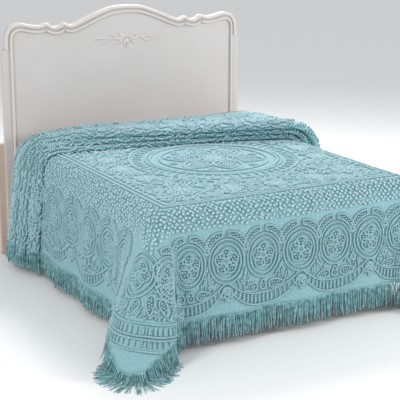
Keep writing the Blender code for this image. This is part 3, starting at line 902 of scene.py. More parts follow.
def swag(pitch, stretch):
    """A swag of two curved lines with bars between, hung between every second oval."""
    t = np.linspace(-1, 1, 60)
    base = OVAL_BOTTOM + stretch
    parts = [stroke(rows(t * pitch * 0.93, base + swag_top(t))),
             stroke(rows(t * pitch * 0.98, base + swag_low(t)))]
    for u in np.linspace(-0.84, 0.84, 15):
        high = base + swag_top(u) + 0.012
        low = base + swag_low(u) - 0.012
        if low - high > 0.008:
            parts.append(stroke([(u * pitch * 0.94, high), (u * pitch * 0.97, low)]))
    for side, way in ((-1, 180), (1, 0)):
        parts += filled(leaf((side * pitch * 0.16, base + 0.044), 0.085, 0.042, way), 0.75)
    return parts + filled(leaf((0.0, base + 0.066), 0.052, 0.036, -90))


def pendant(_, stretch):
    """The drop that hangs where two swags meet."""
    parts = []
    for angle, length in ((90, 0.070), (62, 0.056), (118, 0.056)):
        parts += filled(leaf((0.0, OVAL_BOTTOM + stretch + 0.022), length, 0.026, angle), 0.6)
    return parts


def border_run(kind, first, last, stretch, joint):
    """Places along and down the border, for ovals numbered from first to last.

    Two swags meet under every oval whose number is even, or odd, as joint says.
    """
    pitch = OVAL_PITCH[kind]
    parts = []
    for k in range(first, last + 1):
        below = pendant if k % 2 == joint else swag
        parts += [part + (k * pitch, 0.0) for part in border_motif(pitch, stretch) + below(pitch, stretch)]
    return np.concatenate(parts)


def round_corner_places(points, side):
    """Cloth places of points laid out as degrees from the side to the foot, and distance out."""
    way = np.radians(points[:, 0])
    across = side * (FLAT_HALF_WIDTH + points[:, 1] * np.cos(way))
    return rows(across, -points[:, 1] * np.sin(way))


def corner_swag():
    """Rows of short bars and their edge lines, in degrees round the corner and distance out."""
    t = np.linspace(-1, 1, 90)
    parts = []
    for out, sag in CORNER_SWAG_LINES:
        parts.append(rows(50 + 40 * t, out + sag * (1 - t ** 2)))
    for first, last in CORNER_SWAG_BARS:
        for u in np.linspace(-0.97, 0.97, 27):
            bow = 0.038 * (1 - u ** 2)
            parts.append(np.array([(50 + 40 * u, first + bow), (50 + 40 * u, last + bow)]))
    return parts


def corner_motif(side):
    """The oval, the leaf scrolls and the swag that go round a loose corner."""
    middle = round_corner_places(np.array([(CORNER_OVAL_ANGLE, CORNER_OVAL_OUT)]), side)[0]
    turn = side * (90 - CORNER_OVAL_ANGLE)
    parts = double_oval(middle, OVAL_HALF_WIDTH, turn, turn)
    for angle, out, length, way in CORNER_LEAVES:
        base = round_corner_places(np.array([(angle, out)]), side)[0]
        down = math.radians(angle)
        outward = math.degrees(math.atan2(-math.sin(down), side * math.cos(down)))
        parts += filled(leaf(base, length, 0.042, outward + side * way))
    parts += [stroke(round_corner_places(line, side)) for line in corner_swag()]
    taken = np.concatenate(parts)
    low = (side * FLAT_HALF_WIDTH - 0.62 * (side < 0), -0.60)
    high = (low[0] + 0.62, -0.02)
    bars = short_bars(taken, low, high, pitch=0.024, clear=0.010, seed=51)
    past = np.abs(bars[:, 0]) - FLAT_HALF_WIDTH
    angle = np.degrees(np.arctan2(-bars[:, 1], past))
    out = np.hypot(bars[:, 1], past)
    clear = np.linalg.norm(bars - middle, axis=1) > OVAL_HALF_LENGTH * 1.05
    fill = (angle > 14) & (angle < 78) & (out > 0.40) & (out < 0.565) & clear
    return np.concatenate((taken, bars[fill]))


def ground_bars(taken, kind, first, last, stretch, joint, seed):
    """Short bars of pile between the ovals and the swags under them."""
    pitch = OVAL_PITCH[kind]
    low = ((first - 0.5) * pitch, OVAL_MIDDLE + stretch - 0.02)
    high = ((last + 0.5) * pitch, OVAL_BOTTOM + stretch + 0.075)
    bars = short_bars(taken, low, high, pitch=0.021, clear=0.0095, seed=seed, level=90.0)
    at = bars[:, 0] / pitch
    number = np.round(at)
    swag_at = np.where(number % 2 == joint, number + np.sign(at - number), number)
    above = bars[:, 1] < OVAL_BOTTOM + stretch + swag_top(np.clip(np.abs(at - swag_at), 0, 1)) - 0.008
    from_oval = np.hypot((at - number) * pitch / OVAL_HALF_WIDTH,
                         (bars[:, 1] - OVAL_MIDDLE - stretch) / OVAL_HALF_LENGTH)
    return bars[above & (from_oval > 1.08)]


def lattice(low, high, start, end):
    """Staggered places of the thick poms, along from low to high and down from start to end."""
    parts = []
    for row, down in enumerate(np.arange(start, end, POM_PITCH)):
        along = np.arange(low + POM_PITCH * (row % 2), high, 2 * POM_PITCH)
        parts.append(rows(along, np.full_like(along, down)))
    places = np.concatenate(parts)
    return places + np.random.default_rng(41).normal(0, 0.0028, places.shape)


def in_cloth(across, along, margin=0.012):
    """Which places lie within the rounded hem."""
    _, _, reach, ratio = corner_reach(across, along)
    inside_hem = reach * (1 + margin / SIDE_DROP) < hem_scale(ratio)
    return inside_hem & (along < CLOTH_END - margin)


# What shows of the folds: how much of a front's turn, and how far short of the next front
# the cloth is already covered, on the bed and on a layer
FRONT_SHOWS = (0.36, 0.95)
BED_COVERED = 0.004
LAYER_COVERED = 0.020


def showing(across, along):
    """Which places of the cloth's face lie in the open, and not between two folds."""
    places = fold_places(across)
    y = head_section(across, np.clip(along, 0, None))[0]
    shown = y < np.min([places[i] for i in FRONTS], axis=0) - BED_COVERED
    begin = MAIN_LENGTH
    for index, length in enumerate(fold_lengths()):
        here = (along > begin) & (along <= begin + length)
        later = [places[i] for i in FRONTS if i > index // 2]
        if index // 2 not in FRONTS:
            state = False
        elif index % 2 == 0:
            u = (along - begin) / length
            state = (u > FRONT_SHOWS[0]) & (u < FRONT_SHOWS[1])
        else:
            state = y < np.min(later, axis=0) - LAYER_COVERED if later else True
        shown = np.where(here, state, shown)
        begin += length
    return shown


def side_places(parts, side):
    """Cloth places of a side border laid out as distance along and distance down."""
    across = side * (FLAT_HALF_WIDTH + parts[:, 1])
    return across, parts[:, 0]


def foot_places(parts):
    """Cloth places of the foot border laid out as distance across and distance down."""
    return parts[:, 0], -parts[:, 1]


def mitred(across, along, keep_side):
    """Which places lie on their own side of the mitre line at a foot corner."""
    past_side = np.abs(across) - FLAT_HALF_WIDTH
    past_foot = -along
    return past_side >= past_foot if keep_side else past_foot > past_side


# Geometry Nodes that put pile on the cloth

def new_group(name, inputs):
    """A node tree that takes geometry and named inputs, its inputs' keys and their sockets."""
    tree = bpy.data.node_groups.new(name, "GeometryNodeTree")
    tree.interface.new_socket(name="Geometry", in_out="OUTPUT", socket_type="NodeSocketGeometry")
    ids = {}
    every = {"Geometry": ("Geometry", None), **inputs, "Material": ("Material", None)}
    for key, (kind, default) in every.items():
        socket = tree.interface.new_socket(name=key, in_out="INPUT", socket_type="NodeSocket" + kind)
        if default is not None:
            socket.default_value = default
        ids[key] = socket.identifier
    return tree, ids, tree.nodes.new("NodeGroupInput").outputs


def attribute(tree, name, kind="FLOAT"):
    """A named attribute of the geometry."""
    node = add_node(tree, "GeometryNodeInputNamedAttribute", {"data_type": kind}, Name=name)
    return node.outputs["Attribute"]


def end_group(tree, geometry, material):
    """Make the geometry real, give it its material and put it out."""
    real = add_node(tree, "GeometryNodeRealizeInstances", Geometry=geometry)
    painted = add_node(tree, "GeometryNodeSetMaterial", Geometry=real.outputs[0], Material=material)
    add_node(tree, "NodeGroupOutput", Geometry=painted.outputs["Geometry"])


def tuft_form(name, sides, levels):
    """One tuft: a soft dome open underneath, with its height kept for the material, which paints shade by it;
    its first ring lies wide and flat on the cloth and takes the darkest colour, a painted shadow round the
    tuft.
    """
    rings = []
    points = []
    for radius, height in levels:
        ring = []
        for k in range(sides):
            way = 2 * math.pi * (k + 0.5 * (len(rings) % 2)) / sides
            ring.append(len(points))
            points.append((radius * math.cos(way), radius * math.sin(way), height))
        rings.append(ring)
    faces = []
    for lower, upper in zip(rings, rings[1:]):
        for k in range(sides):
            n = (k + 1) % sides
            faces.append((lower[k], lower[n], upper[n], upper[k]))
    top = len(points)
    points.append((0.0, 0.0, 1.0))
    faces += [(rings[-1][k], rings[-1][(k + 1) % sides], top) for k in range(sides)]
    mesh = bpy.data.meshes.new(name)
    mesh.from_pydata(points, [], faces)
    mesh.shade_smooth()
    # pile runs from 0 at the tuft's foot to 1 at its top, and sets its painted shade
    pile = mesh.attributes.new("pile", "FLOAT", "POINT")
    pile.data.foreach_set("value", [max(0.0, p[2]) for p in points])
    return new_object(name, mesh, None)


def pile_tree():
    """Puts one tuft on each point, turned to the point's facing, and varies their sizes."""
    tree, ids, given = new_group("pile_on_cloth", {
        "Tuft": ("Object", None), "Radius": ("Float", TUFT_RADIUS), "Height": ("Float", TUFT_HEIGHT),
        "Unevenness": ("Float", 0.2), "Seed": ("Int", 1)})
    turn = add_node(tree, "FunctionNodeAlignRotationToVector", {"axis": "Z"},
                    Vector=attribute(tree, "facing", "FLOAT_VECTOR"))
    spin = add_node(tree, "FunctionNodeRandomValue", {"data_type": "FLOAT"}, Seed=given["Seed"])
    spin.inputs[3].default_value = 2 * math.pi
    spin_turn = add_node(tree, "FunctionNodeAxisAngleToRotation", Angle=spin.outputs[1])
    rotation = add_node(tree, "FunctionNodeRotateRotation", {"rotation_space": "LOCAL"},
                        Rotation=turn.outputs[0])
    feed(tree, rotation.inputs[1], spin_turn.outputs[0])
    size = add_node(tree, "FunctionNodeRandomValue", {"data_type": "FLOAT"}, Seed=given["Seed"])
    feed(tree, size.inputs[2], maths(tree, "SUBTRACT", 1.0, given["Unevenness"]))
    feed(tree, size.inputs[3], maths(tree, "ADD", 1.0, given["Unevenness"]))
    own = attribute(tree, "size")
    wide = maths(tree, "MULTIPLY", given["Radius"], own)
    tall = maths(tree, "MULTIPLY", maths(tree, "MULTIPLY", given["Height"], size.outputs[1]), own)
    scale = add_node(tree, "ShaderNodeCombineXYZ", X=wide, Y=wide, Z=tall)
    form = add_node(tree, "GeometryNodeObjectInfo", Object=given["Tuft"])
    tufts = add_node(tree, "GeometryNodeInstanceOnPoints", Points=given["Geometry"],
                     Instance=form.outputs["Geometry"], Rotation=rotation.outputs[0], Scale=scale.outputs[0])
    end_group(tree, tufts.outputs["Instances"], given["Material"])
    return tree, ids


def grown(obj, nodes, mat, **values):
    """Run a node tree, given with its inputs' keys, on an object, and make the result plain."""
    tree, ids = nodes
    grow = obj.modifiers.new("grow", "NODES")
    grow.node_group = tree
    for key, value in {**values, "Material": mat}.items():
        grow[ids[key]] = value
    return made_plain(obj, mat)


def grow_pile(name, places, form, nodes, mat, seed, **sizes):
    """Tufts at cloth places given as across, along and size, as one plain piece."""
    across, along, size = places
    keep = in_cloth(across, along) & showing(across, along)
    across, along, size = across[keep], along[keep], size[keep]
    points, normals = cloth_points(across, along)
    points = points + normals * (CLOTH_THICK / 2 - TUFT_SINK)
    mesh = bpy.data.meshes.new(name)
    mesh.from_pydata(points.tolist(), [], [])
    facing = mesh.attributes.new("facing", "FLOAT_VECTOR", "POINT")
    facing.data.foreach_set("vector", normals.ravel())
    own = mesh.attributes.new("size", "FLOAT", "POINT")
    own.data.foreach_set("value", size)
    return grown(new_object(name, mesh, None), nodes, mat, Tuft=form, Seed=seed, **sizes)


def sized(across, along, size=1.0):
    """Cloth places with one size for all of them."""
    return across, along, np.full(len(across), float(size))


def joined(*groups):
    """Several groups of cloth places as one."""
    return tuple(np.concatenate(column) for column in zip(*groups))


def chosen(group, keep):
    """The places of a group that are kept."""
    return tuple(column[keep] for column in group)


# Strips of poms: from and to, down from the bend at the foot and sides, and along at the head
LATTICE_FOOT = (0.034, 0.163)
LATTICE_SIDE = (0.034, 0.198)
LATTICE_HEAD_START = FIELD_MIDDLE + FIELD_HALF_LENGTH + 0.045
LATTICE_HEAD = (LATTICE_HEAD_START, LATTICE_HEAD_START + 0.14)


def field_places():
    """Places of the medallion, and of the field with its lines and its short bars."""
    shift = (PATTERN_SHIFT, FIELD_MIDDLE)
    ring = medallion() + shift
    scrolls = field_parts() + shift
    lines = field_frame() + (0.0, FIELD_MIDDLE)
    taken = np.concatenate((ring, scrolls, lines))
    low = (-FIELD_HALF_WIDTH + 0.012, FIELD_MIDDLE - FIELD_HALF_LENGTH + 0.012)
    high = (FIELD_HALF_WIDTH - 0.012, FIELD_MIDDLE + FIELD_HALF_LENGTH - 0.012)
    bars = short_bars(taken, low, high, pitch=0.034, clear=0.014, seed=11)
    bars = bars[np.linalg.norm(bars - shift, axis=1) > MEDALLION_REACH]
    return sized(*ring.T), joined(sized(*scrolls.T), sized(*lines.T), sized(*bars.T, 1.15))


def lattice_places():
    """Places of the poms at the foot, at both sides and at the head of the field."""
    across, along = foot_places(lattice(-1.0, 1.0, *LATTICE_FOOT))
    poms = [chosen(sized(across, along), mitred(across, along, False))]
    for side in (-1, 1):
        across, along = side_places(lattice(-0.3, LATTICE_HEAD[1], *LATTICE_SIDE), side)
        poms.append(chosen(sized(across, along), mitred(across, along, True)))
    cross = lattice(-FLAT_HALF_WIDTH - 0.02, FLAT_HALF_WIDTH + 0.02, *LATTICE_HEAD)
    return joined(*poms, sized(*cross.T))


def foot_border_places():
    """Places of the ovals and swags of the foot side, between its loose corners."""
    run = border_run("foot", -4, 4, 0.0, joint=0)
    run = np.concatenate((run, ground_bars(run, "foot", -3, 3, 0.0, joint=0, seed=31)))
    across, along = foot_places(run + (PATTERN_SHIFT, 0.0))
    angle = np.degrees(np.arctan2(-along, np.abs(across) - FLAT_HALF_WIDTH))
    return chosen(sized(across, along), angle > CORNER_OVAL_ANGLE + 15)


def side_border_places(side, seed):
    """Places of the ovals and swags of a long side, and of its corner motif."""
    run = border_run("side", 0, 7, SIDE_STRETCH, joint=1)
    run = np.concatenate((run, ground_bars(run, "side", 0, 7, SIDE_STRETCH, joint=1, seed=seed)))
    across, along = side_places(run + (SIDE_SHIFT, 0.0), side)
    return joined(sized(across, along), sized(*corner_motif(side).T))


def build_tufts(form, pom, nodes, pile, pile_painted_shade):
    """Every group of tufts on the flat and the hanging cloth, as pieces of their own."""
    ring, field = field_places()
    # The tufts of the hanging border take the darker copy of the pile, painted shade
    pieces = [grow_pile("tufts_medallion", ring, form, nodes, pile, 1),
              grow_pile("tufts_field", field, form, nodes, pile, 2),
              grow_pile("tufts_lattice", lattice_places(), pom, nodes, pile, 3,
                        Radius=POM_RADIUS, Height=POM_HEIGHT, Unevenness=0.35),
              grow_pile("tufts_border_foot", foot_border_places(), form, nodes, pile_painted_shade, 4)]
    for name, side, seed in (("left", -1, 5), ("right", 1, 6)):
        places = side_border_places(side, 30 + seed)
        pieces.append(grow_pile("tufts_border_" + name, places, form, nodes, pile_painted_shade, seed))
    return pieces


def behind_front(index, points):
    """Cloth places of points laid out as distance across and distance behind a fold's front."""
    across, behind = points.T
    places = fold_places(across)
    lengths = fold_lengths()
    begin = MAIN_LENGTH + sum(lengths[:2 * index + 1])
    share = behind / (places[index + 1] - places[index])
    keep = share < 0.96
    return across[keep], (begin + share * lengths[2 * index + 1])[keep]


# Pattern of the layer on top: the repeat across it, and the base and angle of each leaf
TOP_REPEAT = 0.26
TOP_LEAVES = (
    ((0.070, 0.135), 55), ((-0.070, 0.135), 125), ((0.075, 0.075), -35), ((-0.075, 0.075), 215),
    ((0.020, 0.215), 90),
)
FOLD_BAR_SIZE = 1.1
NOTHING_TAKEN = np.array([(0.0, -5.0)])


def top_layer_pattern():
    """Flowers and leaves in two rows, as distance across and distance behind the front."""
    parts = []
    for x in TOP_REPEAT * np.arange(-5, 6):
        parts += flower((x, 0.105), 0.062)
        parts += flower((x + TOP_REPEAT / 2, 0.300), 0.055, -90)
        for (out, behind), angle in TOP_LEAVES:
            parts += sprig((x + out, behind), 0.085, 0.044, angle)
    return np.concatenate(parts)


def build_fold_tufts(form, nodes, pile):
    """Pile over the parts of the cloth that show in the head folds."""
    half = FLAT_HALF_WIDTH + SIDE_DROP - 0.02
    pattern = top_layer_pattern()
    groups = [sized(*behind_front(FRONTS[-1], pattern))]
    lengths = fold_lengths()
    for index in FRONTS:
        taken, clear = (pattern, 0.013) if index == FRONTS[-1] else (NOTHING_TAKEN, 0.0)
        bars = short_bars(taken, (-half, 0.006), (half, 0.46), pitch=0.034, clear=clear, seed=21 + index)
        groups.append(sized(*behind_front(index, bars), FOLD_BAR_SIZE))
        begin = MAIN_LENGTH + sum(lengths[:2 * index])
        end = begin + lengths[2 * index]
        bars = short_bars(NOTHING_TAKEN, (-half, begin), (half, end), pitch=0.031, clear=0.0, seed=41 + index)
        groups.append(sized(*bars.T, FOLD_BAR_SIZE))
    return grow_pile("tufts_folds", joined(*groups), form, nodes, pile, 7)


# Fringe

STRAND_PITCH = 0.0100
STRAND_LENGTH = 0.118
CORNER_STRAND = 1.18
STRAND_STEPS = 5
STRAND_RADIUS = 0.0033
STRAND_TAPER = (1.0, 1.0, 0.95, 0.8, 0.5)
HEADING_RADIUS = 0.0042
PAIR_OFFSET = 0.0016
HANG = np.array((0, 0, -0.8))
SAG = np.array((0, 0, -0.10))
PAIR_SPREAD = 0.05
GATHER = (0.02, 0.09)
LENGTH_SHARES = (0.86, 1.10)
FLOOR_LEVEL = 0.0030
FLOOR_PILE = 0.003


def hem_line(across, along):
    """Points, face normals and ways down along a stretch of hem, evenly spaced."""
    travel = travelled(drape(across, along)[0])
    at = np.arange(0.0, travel[-1], STRAND_PITCH)
    across = np.interp(at, travel, across)
    along = np.interp(at, travel, along)
    points, normals = cloth_points(across, along)
    run = np.gradient(points, axis=0)
    down = unit(np.cross(run, normals))
    facing = np.sign(np.sum(down * drape(across, along)[1], axis=1, keepdims=True))
    return points, normals, down * facing


def floor_step(place, length, outward, side, random):
    """One step of a yarn that meets the floor: down to it and on, and its level way there."""
    level = unit(outward * (1, 1, 0))
    drop = max(0.0, place[2] - FLOOR_LEVEL - random.uniform(0, FLOOR_PILE) * (side + 1))
    flat = math.sqrt(max(length ** 2 - drop ** 2, 0.0))
    return level * flat - np.array((0, 0, drop)), level


def strand(point, normal, down, side, gather, step, random):
    """Path of one yarn, which hangs from the hem and lies level where it meets the floor."""
    way = down + HANG + normal * (PAIR_SPREAD * side + random.normal(0, 0.04))
    along = np.cross(down, normal)
    way = unit(way + along * (random.normal(0, 0.07) - gather))
    curl = along * random.normal(0, 0.022) + normal * random.normal(0, 0.02)
    path = [point + normal * PAIR_OFFSET * side + along * random.normal(0, 0.0015)]
    length = step * random.uniform(*LENGTH_SHARES)
    for _ in range(STRAND_STEPS):
        way = unit(way + curl + SAG)
        move = way * length
        if path[-1][2] + move[2] < FLOOR_LEVEL:
            outward = unit((down + normal * 0.3) * (1, 1, 0) + along * random.normal(0, 0.12))
            move, way = floor_step(path[-1], length, outward, side, random)
        path.append(path[-1] + move)
    return path


def strands(points, normals, downs, seed, full=STRAND_LENGTH):
    """Paths of the fringe: a pair of yarns at each place, and every three places drawn together."""
    random = np.random.default_rng(seed)
    paths = []
    for number, (point, normal, down) in enumerate(zip(points, normals, downs)):
        gather = (number % 3 - 1) * random.uniform(*GATHER)
        for side in (-1, 1):
            paths.append(strand(point, normal, down, side, gather, full / STRAND_STEPS, random))
    return paths


def yarn_tree():
    """Gives every path a round section that tapers to its tip."""
    tree, ids, given = new_group("fringe_yarn", {"Radius": ("Float", STRAND_RADIUS), "Sides": ("Int", 5)})
    section = add_node(tree, "GeometryNodeCurvePrimitiveCircle", Resolution=given["Sides"],
                       Radius=given["Radius"])
    tube = add_node(tree, "GeometryNodeCurveToMesh", Curve=given["Geometry"])
    feed(tree, tube.inputs["Profile Curve"], section.outputs["Curve"])
    feed(tree, tube.inputs["Fill Caps"], True)
    if "Scale" in tube.inputs:
        feed(tree, tube.inputs["Scale"], attribute(tree, "radius"))
    smooth = add_node(tree, "GeometryNodeSetShadeSmooth", Geometry=tube.outputs["Mesh"])
    end_group(tree, smooth.outputs[0], given["Material"])
    return tree, ids


def tubes(name, paths, radii, nodes, mat, radius, sides):
    """Round tubes along paths, as one plain piece; radii are shares along every path."""
    curve = bpy.data.curves.new(name, "CURVE")
    curve.dimensions = "3D"
    for path in paths:
        line = curve.splines.new("POLY")
        line.points.add(len(path) - 1)
        shares = np.interp(np.linspace(0, 1, len(path)), np.linspace(0, 1, len(radii)), radii)
        for target, place, share in zip(line.points, path, shares):
            target.co = (*place, 1.0)
            target.radius = share
    obj = bpy.data.objects.new(name, curve)
    bpy.context.scene.collection.objects.link(obj)
    return grown(obj, nodes, mat, Radius=radius, Sides=sides)


def build_fringes(nodes, mat):
    """Fringe on the sides, the foot and the loose corners, each with its heading."""
    half = FLAT_HALF_WIDTH + SIDE_DROP
    lines = along_lines()
    head_part = lines[lines >= 0.0]
    foot_part = np.linspace(-FLAT_HALF_WIDTH, FLAT_HALF_WIDTH, 160)
    turn = np.linspace(0, 1, 60)
    pieces = []
    runs = {
        "fringe_left": (np.full_like(head_part, -half), head_part),
        "fringe_right": (np.full_like(head_part, half), head_part),
        "fringe_foot": (foot_part, np.full_like(foot_part, -FOOT_DROP)),
    }
    for name, side in (("fringe_corner_left", -1), ("fringe_corner_right", 1)):
        down = -FOOT_DROP * turn
        out = FLAT_HALF_WIDTH + SIDE_DROP * turn
        across = np.concatenate((np.full_like(turn, side * half), side * out[::-1][1:]))
        along = np.concatenate((down, np.full(len(turn) - 1, -FOOT_DROP)))
        runs[name] = round_corner(across, along)
    for seed, (name, (across, along)) in enumerate(runs.items()):
        points, normals, downs = hem_line(across, along)
        full = STRAND_LENGTH * (CORNER_STRAND if "corner" in name else 1.0)
        paths = strands(points, normals, downs, seed, full)
        piece = tubes(name + "_yarns", paths, STRAND_TAPER, nodes, mat, STRAND_RADIUS, 5)
        band = [points + downs * 0.002]
        band = tubes(name + "_heading", band, (1.0,), nodes, mat, HEADING_RADIUS, 8)
        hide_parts(name)
        pieces += [piece, band]
    return pieces


# Bed under the cloth

def rounded_block(name, low, high, radius, segments, mat):
    """A box between two corners with rounded edges."""
    bm = bmesh.new()
    bmesh.ops.create_cube(bm, size=1.0)
    size = Vector(high) - Vector(low)
    middle = (Vector(high) + Vector(low)) / 2
    bmesh.ops.scale(bm, vec=size, verts=bm.verts)
    bmesh.ops.bevel(bm, geom=list(bm.edges), offset=radius, segments=segments, profile=0.5,
                    affect="EDGES")
    bmesh.ops.translate(bm, vec=middle, verts=bm.verts)
    bmesh.ops.recalc_face_normals(bm, faces=bm.faces)
    mesh = bpy.data.meshes.new(name)
    bm.to_mesh(mesh)
    bm.free()
    mesh.shade_smooth()
    return new_object(name, mesh, mat)


MATTRESS_ROUNDING = 0.120
BOX_SPRING_ROUNDING = 0.030
WELT_INSET = 0.032
WELT_CORNER = 0.03
WELT_RADIUS = 0.004


def belong(pieces):
    """Fix pieces to the part's one body."""
    for piece in pieces:
        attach(piece, "root")


def welt_line(height):
    """A closed line round the box spring at a height, with its corners cut."""
    x, foot, head = MATTRESS_HALF_WIDTH, MATTRESS_FOOT_Y, MATTRESS_HEAD_Y
    c = WELT_CORNER
    loop = [(-x + c, foot), (x - c, foot), (x, foot + c), (x, head - c), (x - c, head),
            (-x + c, head), (-x, head - c), (-x, foot + c), (-x + c, foot)]
    return [np.array((px, py, height)) for px, py in loop]


def build_bed(nodes, sheet_mat, ticking_mat):
    """Mattress in its fitted sheet, and the box spring with a welt round its two edges."""
    low = (-MATTRESS_HALF_WIDTH, MATTRESS_FOOT_Y, MATTRESS_BOTTOM)
    high = (MATTRESS_HALF_WIDTH, MATTRESS_HEAD_Y, MATTRESS_TOP)
    mattress = rounded_block("mattress_in_fitted_sheet", low, high, MATTRESS_ROUNDING, 10, sheet_mat)
    low = (-MATTRESS_HALF_WIDTH, MATTRESS_FOOT_Y, BOX_SPRING_BOTTOM)
    high = (MATTRESS_HALF_WIDTH, MATTRESS_HEAD_Y, MATTRESS_BOTTOM - 0.0003)
    base = rounded_block("box_spring_cover", low, high, BOX_SPRING_ROUNDING, 5, ticking_mat)
    welts = [welt_line(height) for height in (BOX_SPRING_BOTTOM + WELT_INSET, MATTRESS_BOTTOM - WELT_INSET)]
    piping = tubes("box_spring_piping", welts, (1.0,), nodes, ticking_mat, WELT_RADIUS, 8)
    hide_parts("mattress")
    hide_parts("box_spring")
    belong((mattress, base, piping))


# Headboard

# Its top edge from the middle out: distance out and height of each point
TOP_EDGE = (
    (0.000, 1.506), (0.100, 1.499), (0.190, 1.471), (0.260, 1.443), (0.330, 1.414), (0.375, 1.402),
    (0.420, 1.417), (0.450, 1.400), (0.481, 1.396), (0.533, 1.421), (0.571, 1.409), (0.620, 1.412),
    (0.715, 1.428), (0.768, 1.407), (0.796, 1.360), (0.800, 1.320),
)
EDGE_ROLL_RADIUS = 0.012
EDGE_ROLL_END = 1.275
MOULDING_X = 0.760
MOULDING_Y = 0.9605
MOULDING_RADIUS = 0.009
MOULDING_HEIGHTS = (0.83, 0.65, 0.48)

# Carved spray: distance out and height of the points of its tail and of its leaves, and how
# thick each is along its length
SPRAY_RADIUS = 0.0085
SPRAY_TAPER = (0.5, 1.0, 0.85, 0.4, 0.12)
SPRAY_TAIL = (
    (0.000, 1.304), (0.020, 1.312), (0.055, 1.296), (0.120, 1.307), (0.205, 1.287), (0.316, 1.276),
)
SPRAY_LEAVES = (
    ((0.015, 1.300), (0.045, 1.325), (0.075, 1.322)),
    ((0.055, 1.298), (0.095, 1.322), (0.135, 1.318)),
    ((0.030, 1.300), (0.050, 1.272), (0.085, 1.262)),
    ((0.105, 1.304), (0.135, 1.282), (0.175, 1.270)),
    ((0.000, 1.300), (0.010, 1.262), (0.002, 1.232)),
    ((0.150, 1.300), (0.190, 1.306), (0.225, 1.298)),
)


def top_edge(inset):
    """Points of the headboard's edge from the middle out to the step, drawn in by an inset."""
    table = np.array(TOP_EDGE)
    travel = travelled(table)
    at = np.linspace(0, travel[-1], 90)
    points = rows(spline(at, travel, table[:, 0]), spline(at, travel, table[:, 1]))
    along = unit(np.gradient(points, axis=0))
    along[0] = (1.0, 0.0)
    return points + rows(along[:, 1], -along[:, 0]) * inset


def curved_path(points, y, steps=12):
    """A smooth path on a plane facing the foot, through points given as x and z."""
    points = np.array(points, float)
    knots = np.arange(len(points))
    at = np.linspace(0, len(points) - 1, steps * (len(points) - 1) + 1)
    return rows(spline(at, knots, points[:, 0]), np.full_like(at, y), spline(at, knots, points[:, 1]))


def carve_headboard(nodes, mat):
    """A rolled outer edge that follows the top, and a carved spray of leaves on the panel."""
    half = top_edge(EDGE_ROLL_RADIUS)
    half = np.concatenate((half, [(HEADBOARD_EDGE_X - EDGE_ROLL_RADIUS, EDGE_ROLL_END)]))
    whole = np.concatenate((half[:0:-1] * (-1, 1), half))
    path = rows(whole[:, 0], np.full(len(whole), HEADBOARD_FRONT), whole[:, 1])
    edge = tubes("headboard_edge_roll", [path], (1.0,), nodes, mat, EDGE_ROLL_RADIUS, 12)
    ends = [[(x, MOULDING_Y, z) for z in MOULDING_HEIGHTS] for x in (-MOULDING_X, MOULDING_X)]
    foot = tubes("headboard_moulding_ends", ends, (1.0,), nodes, mat, MOULDING_RADIUS, 12)
    paths = []
    for side in (-1, 1):
        paths.append(curved_path([(side * x, z) for x, z in SPRAY_TAIL], HEADBOARD_FRONT))
        for points in SPRAY_LEAVES:
            paths.append(curved_path([(side * x, z) for x, z in points], HEADBOARD_FRONT - 0.001))
    spray = tubes("headboard_carved_spray", paths, SPRAY_TAPER, nodes, mat, SPRAY_RADIUS, 10)
    belong((edge, foot, spray))


def dress_headboard(nodes):
    """Satin paint for the board and its legs, and its rolled edge and carving."""
    paint = paint_material("satin_paint_panel", "#CFCBCA", "#C6BFBC")
    trim = paint_material("satin_paint_trim", "#DCD7D2", "#CFC6BF")
    # The legs' paint is a warmer, darker copy of the board's paint: painted shade
    leg = paint_material("satin_paint_leg", "#D2BFB2", "#C7B0A2")
    board = paint_material("painted_plinth_board", "#B9B2AC", "#ADA49C")
    finishes = {"headboard_panel": paint, "headboard_moulding": trim, "headboard_leg_left": leg,
                "headboard_leg_right": leg, "plinth": board}
    for name, mat in finishes.items():
        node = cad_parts[name]
        node.data.materials.clear()
        node.data.materials.append(mat)
    carve_headboard(nodes, trim)


# Stage and camera

FLOOR_REACH = 30.0

# Name, place, aim, size and watts of each light
LIGHTS = (
    ("soft_light_front_left", (-4.2, -2.6, 3.4), (0, 0, 0.5), 1.2, 90.0),
    ("soft_light_over_head", (1.6, 2.6, 4.0), (0, -0.2, 0.6), 1.2, 150.0),
    ("soft_light_right", (3.8, -3.6, 2.4), (0, -0.6, 0.5), 1.2, 115.0),
)


def build_stage():
    """Plain pale floor, pale surroundings and soft lights."""
    mesh = bpy.data.meshes.new("floor")
    corners = [(x * FLOOR_REACH, y * FLOOR_REACH, 0) for x, y in ((-1, -1), (1, -1), (1, 1), (-1, 1))]
    mesh.from_pydata(corners, [], [(0, 1, 2, 3)])
    floor = new_object("floor", mesh, new_material("pale_matt_floor", "#F2F2F2", 0.9)[0])
    floor.location.z = -0.0005
    world = bpy.data.worlds.new("pale_studio")
    world.use_nodes = True
    background = world.node_tree.nodes["Background"].inputs
    background["Color"].default_value = colour("#F6F8FA")
    background["Strength"].default_value = 0.72
    bpy.context.scene.world = world
    bpy.context.scene.view_settings.view_transform = "Standard"
    for name, place, aim, size, power in LIGHTS:
        light = bpy.data.lights.new(name, "AREA")
        light.size = size
        light.energy = power
        lamp = bpy.data.objects.new(name, light)
        bpy.context.scene.collection.objects.link(lamp)
        lamp.location = place
        lamp.rotation_euler = (Vector(aim) - Vector(place)).to_track_quat("-Z", "Y").to_euler()


CAMERA_PLACE = (-3.178, -5.725, 2.211)
CAMERA_AZIMUTH = -28.994
CAMERA_ELEVATION = 14.86
CAMERA_ROLL = 0.093
FOCAL_PIXELS = 1177.964
PICTURE_PIXELS = 400
SENSOR_WIDTH = 36.0


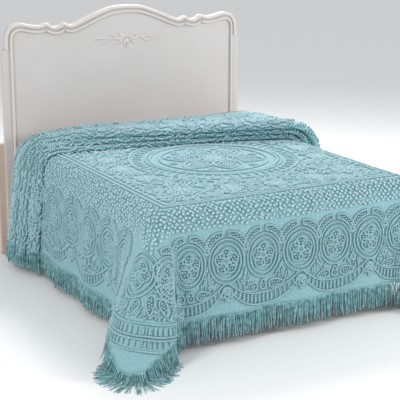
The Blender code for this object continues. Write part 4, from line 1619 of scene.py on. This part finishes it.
def build_camera():
    """The camera at the measured place and angle."""
    azimuth = math.radians(CAMERA_AZIMUTH)
    elevation = math.radians(CAMERA_ELEVATION)
    back = Vector((math.sin(azimuth) * math.cos(elevation), -math.cos(azimuth) * math.cos(elevation),
                   math.sin(elevation)))
    right = (-back).cross(Vector((0, 0, 1))).normalized()
    up = right.cross(-back)
    roll = math.radians(CAMERA_ROLL)
    rolled_right = right * math.cos(roll) + up * math.sin(roll)
    rolled_up = up * math.cos(roll) - right * math.sin(roll)
    data = bpy.data.cameras.new("camera")
    data.sensor_width = SENSOR_WIDTH
    data.lens = FOCAL_PIXELS * SENSOR_WIDTH / PICTURE_PIXELS
    data.clip_end = 100.0
    camera = bpy.data.objects.new("camera", data)
    bpy.context.scene.collection.objects.link(camera)
    facing = Matrix((rolled_right, rolled_up, back)).transposed().to_4x4()
    camera.matrix_world = Matrix.Translation(CAMERA_PLACE) @ facing
    bpy.context.scene.camera = camera


def main():
    """Build every piece, hide the imported parts that some of them replace, and set the stage."""
    for name in ("Cube", "Light", "Camera"):
        if name in bpy.data.objects:
            bpy.data.objects.remove(bpy.data.objects[name])
    cloth = build_cloth(ground_material())
    # Root and tip colours of the pile: painted shade down in the pile and painted light on the tips
    pile = tuft_material("cut_cotton_pile", "#44808A", "#B6D6DD")
    # The border's pile is a darker copy of the same pile: painted shade on the hanging sides
    pile_painted_shade = tuft_material("cut_cotton_pile_border", "#417B82", "#A2C8CE")
    # The first, widest ring of each form lies flat on the cloth in the root colour, a painted shadow round
    # the tuft
    form = tuft_form("tuft_form", 5, ((1.55, -0.02), (0.95, 0.12), (0.74, 0.74)))
    pom = tuft_form("pom_form", 7, ((1.42, -0.02), (0.96, 0.10), (0.98, 0.50), (0.60, 0.88)))
    pile_nodes = pile_tree()
    tufts = build_tufts(form, pom, pile_nodes, pile, pile_painted_shade)
    tufts.append(build_fold_tufts(form, pile_nodes, pile))
    for shape in (form, pom):
        bpy.data.objects.remove(shape)
    yarn_nodes = yarn_tree()
    fringes = build_fringes(yarn_nodes, yarn_material())
    belong([cloth] + tufts)
    belong(fringes)
    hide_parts("bedspread")
    sheet_linen = linen_material("cream_cotton_sheeting", "#EADFCF", "#F1E9DD", SHEET_THREADS)
    ticking = linen_material("woven_ticking_cloth", "#E4DCCF", "#EDE7DD", TICKING_THREADS)
    build_bed(yarn_nodes, sheet_linen, ticking)
    dress_headboard(yarn_nodes)
    build_stage()
    build_camera()


main()
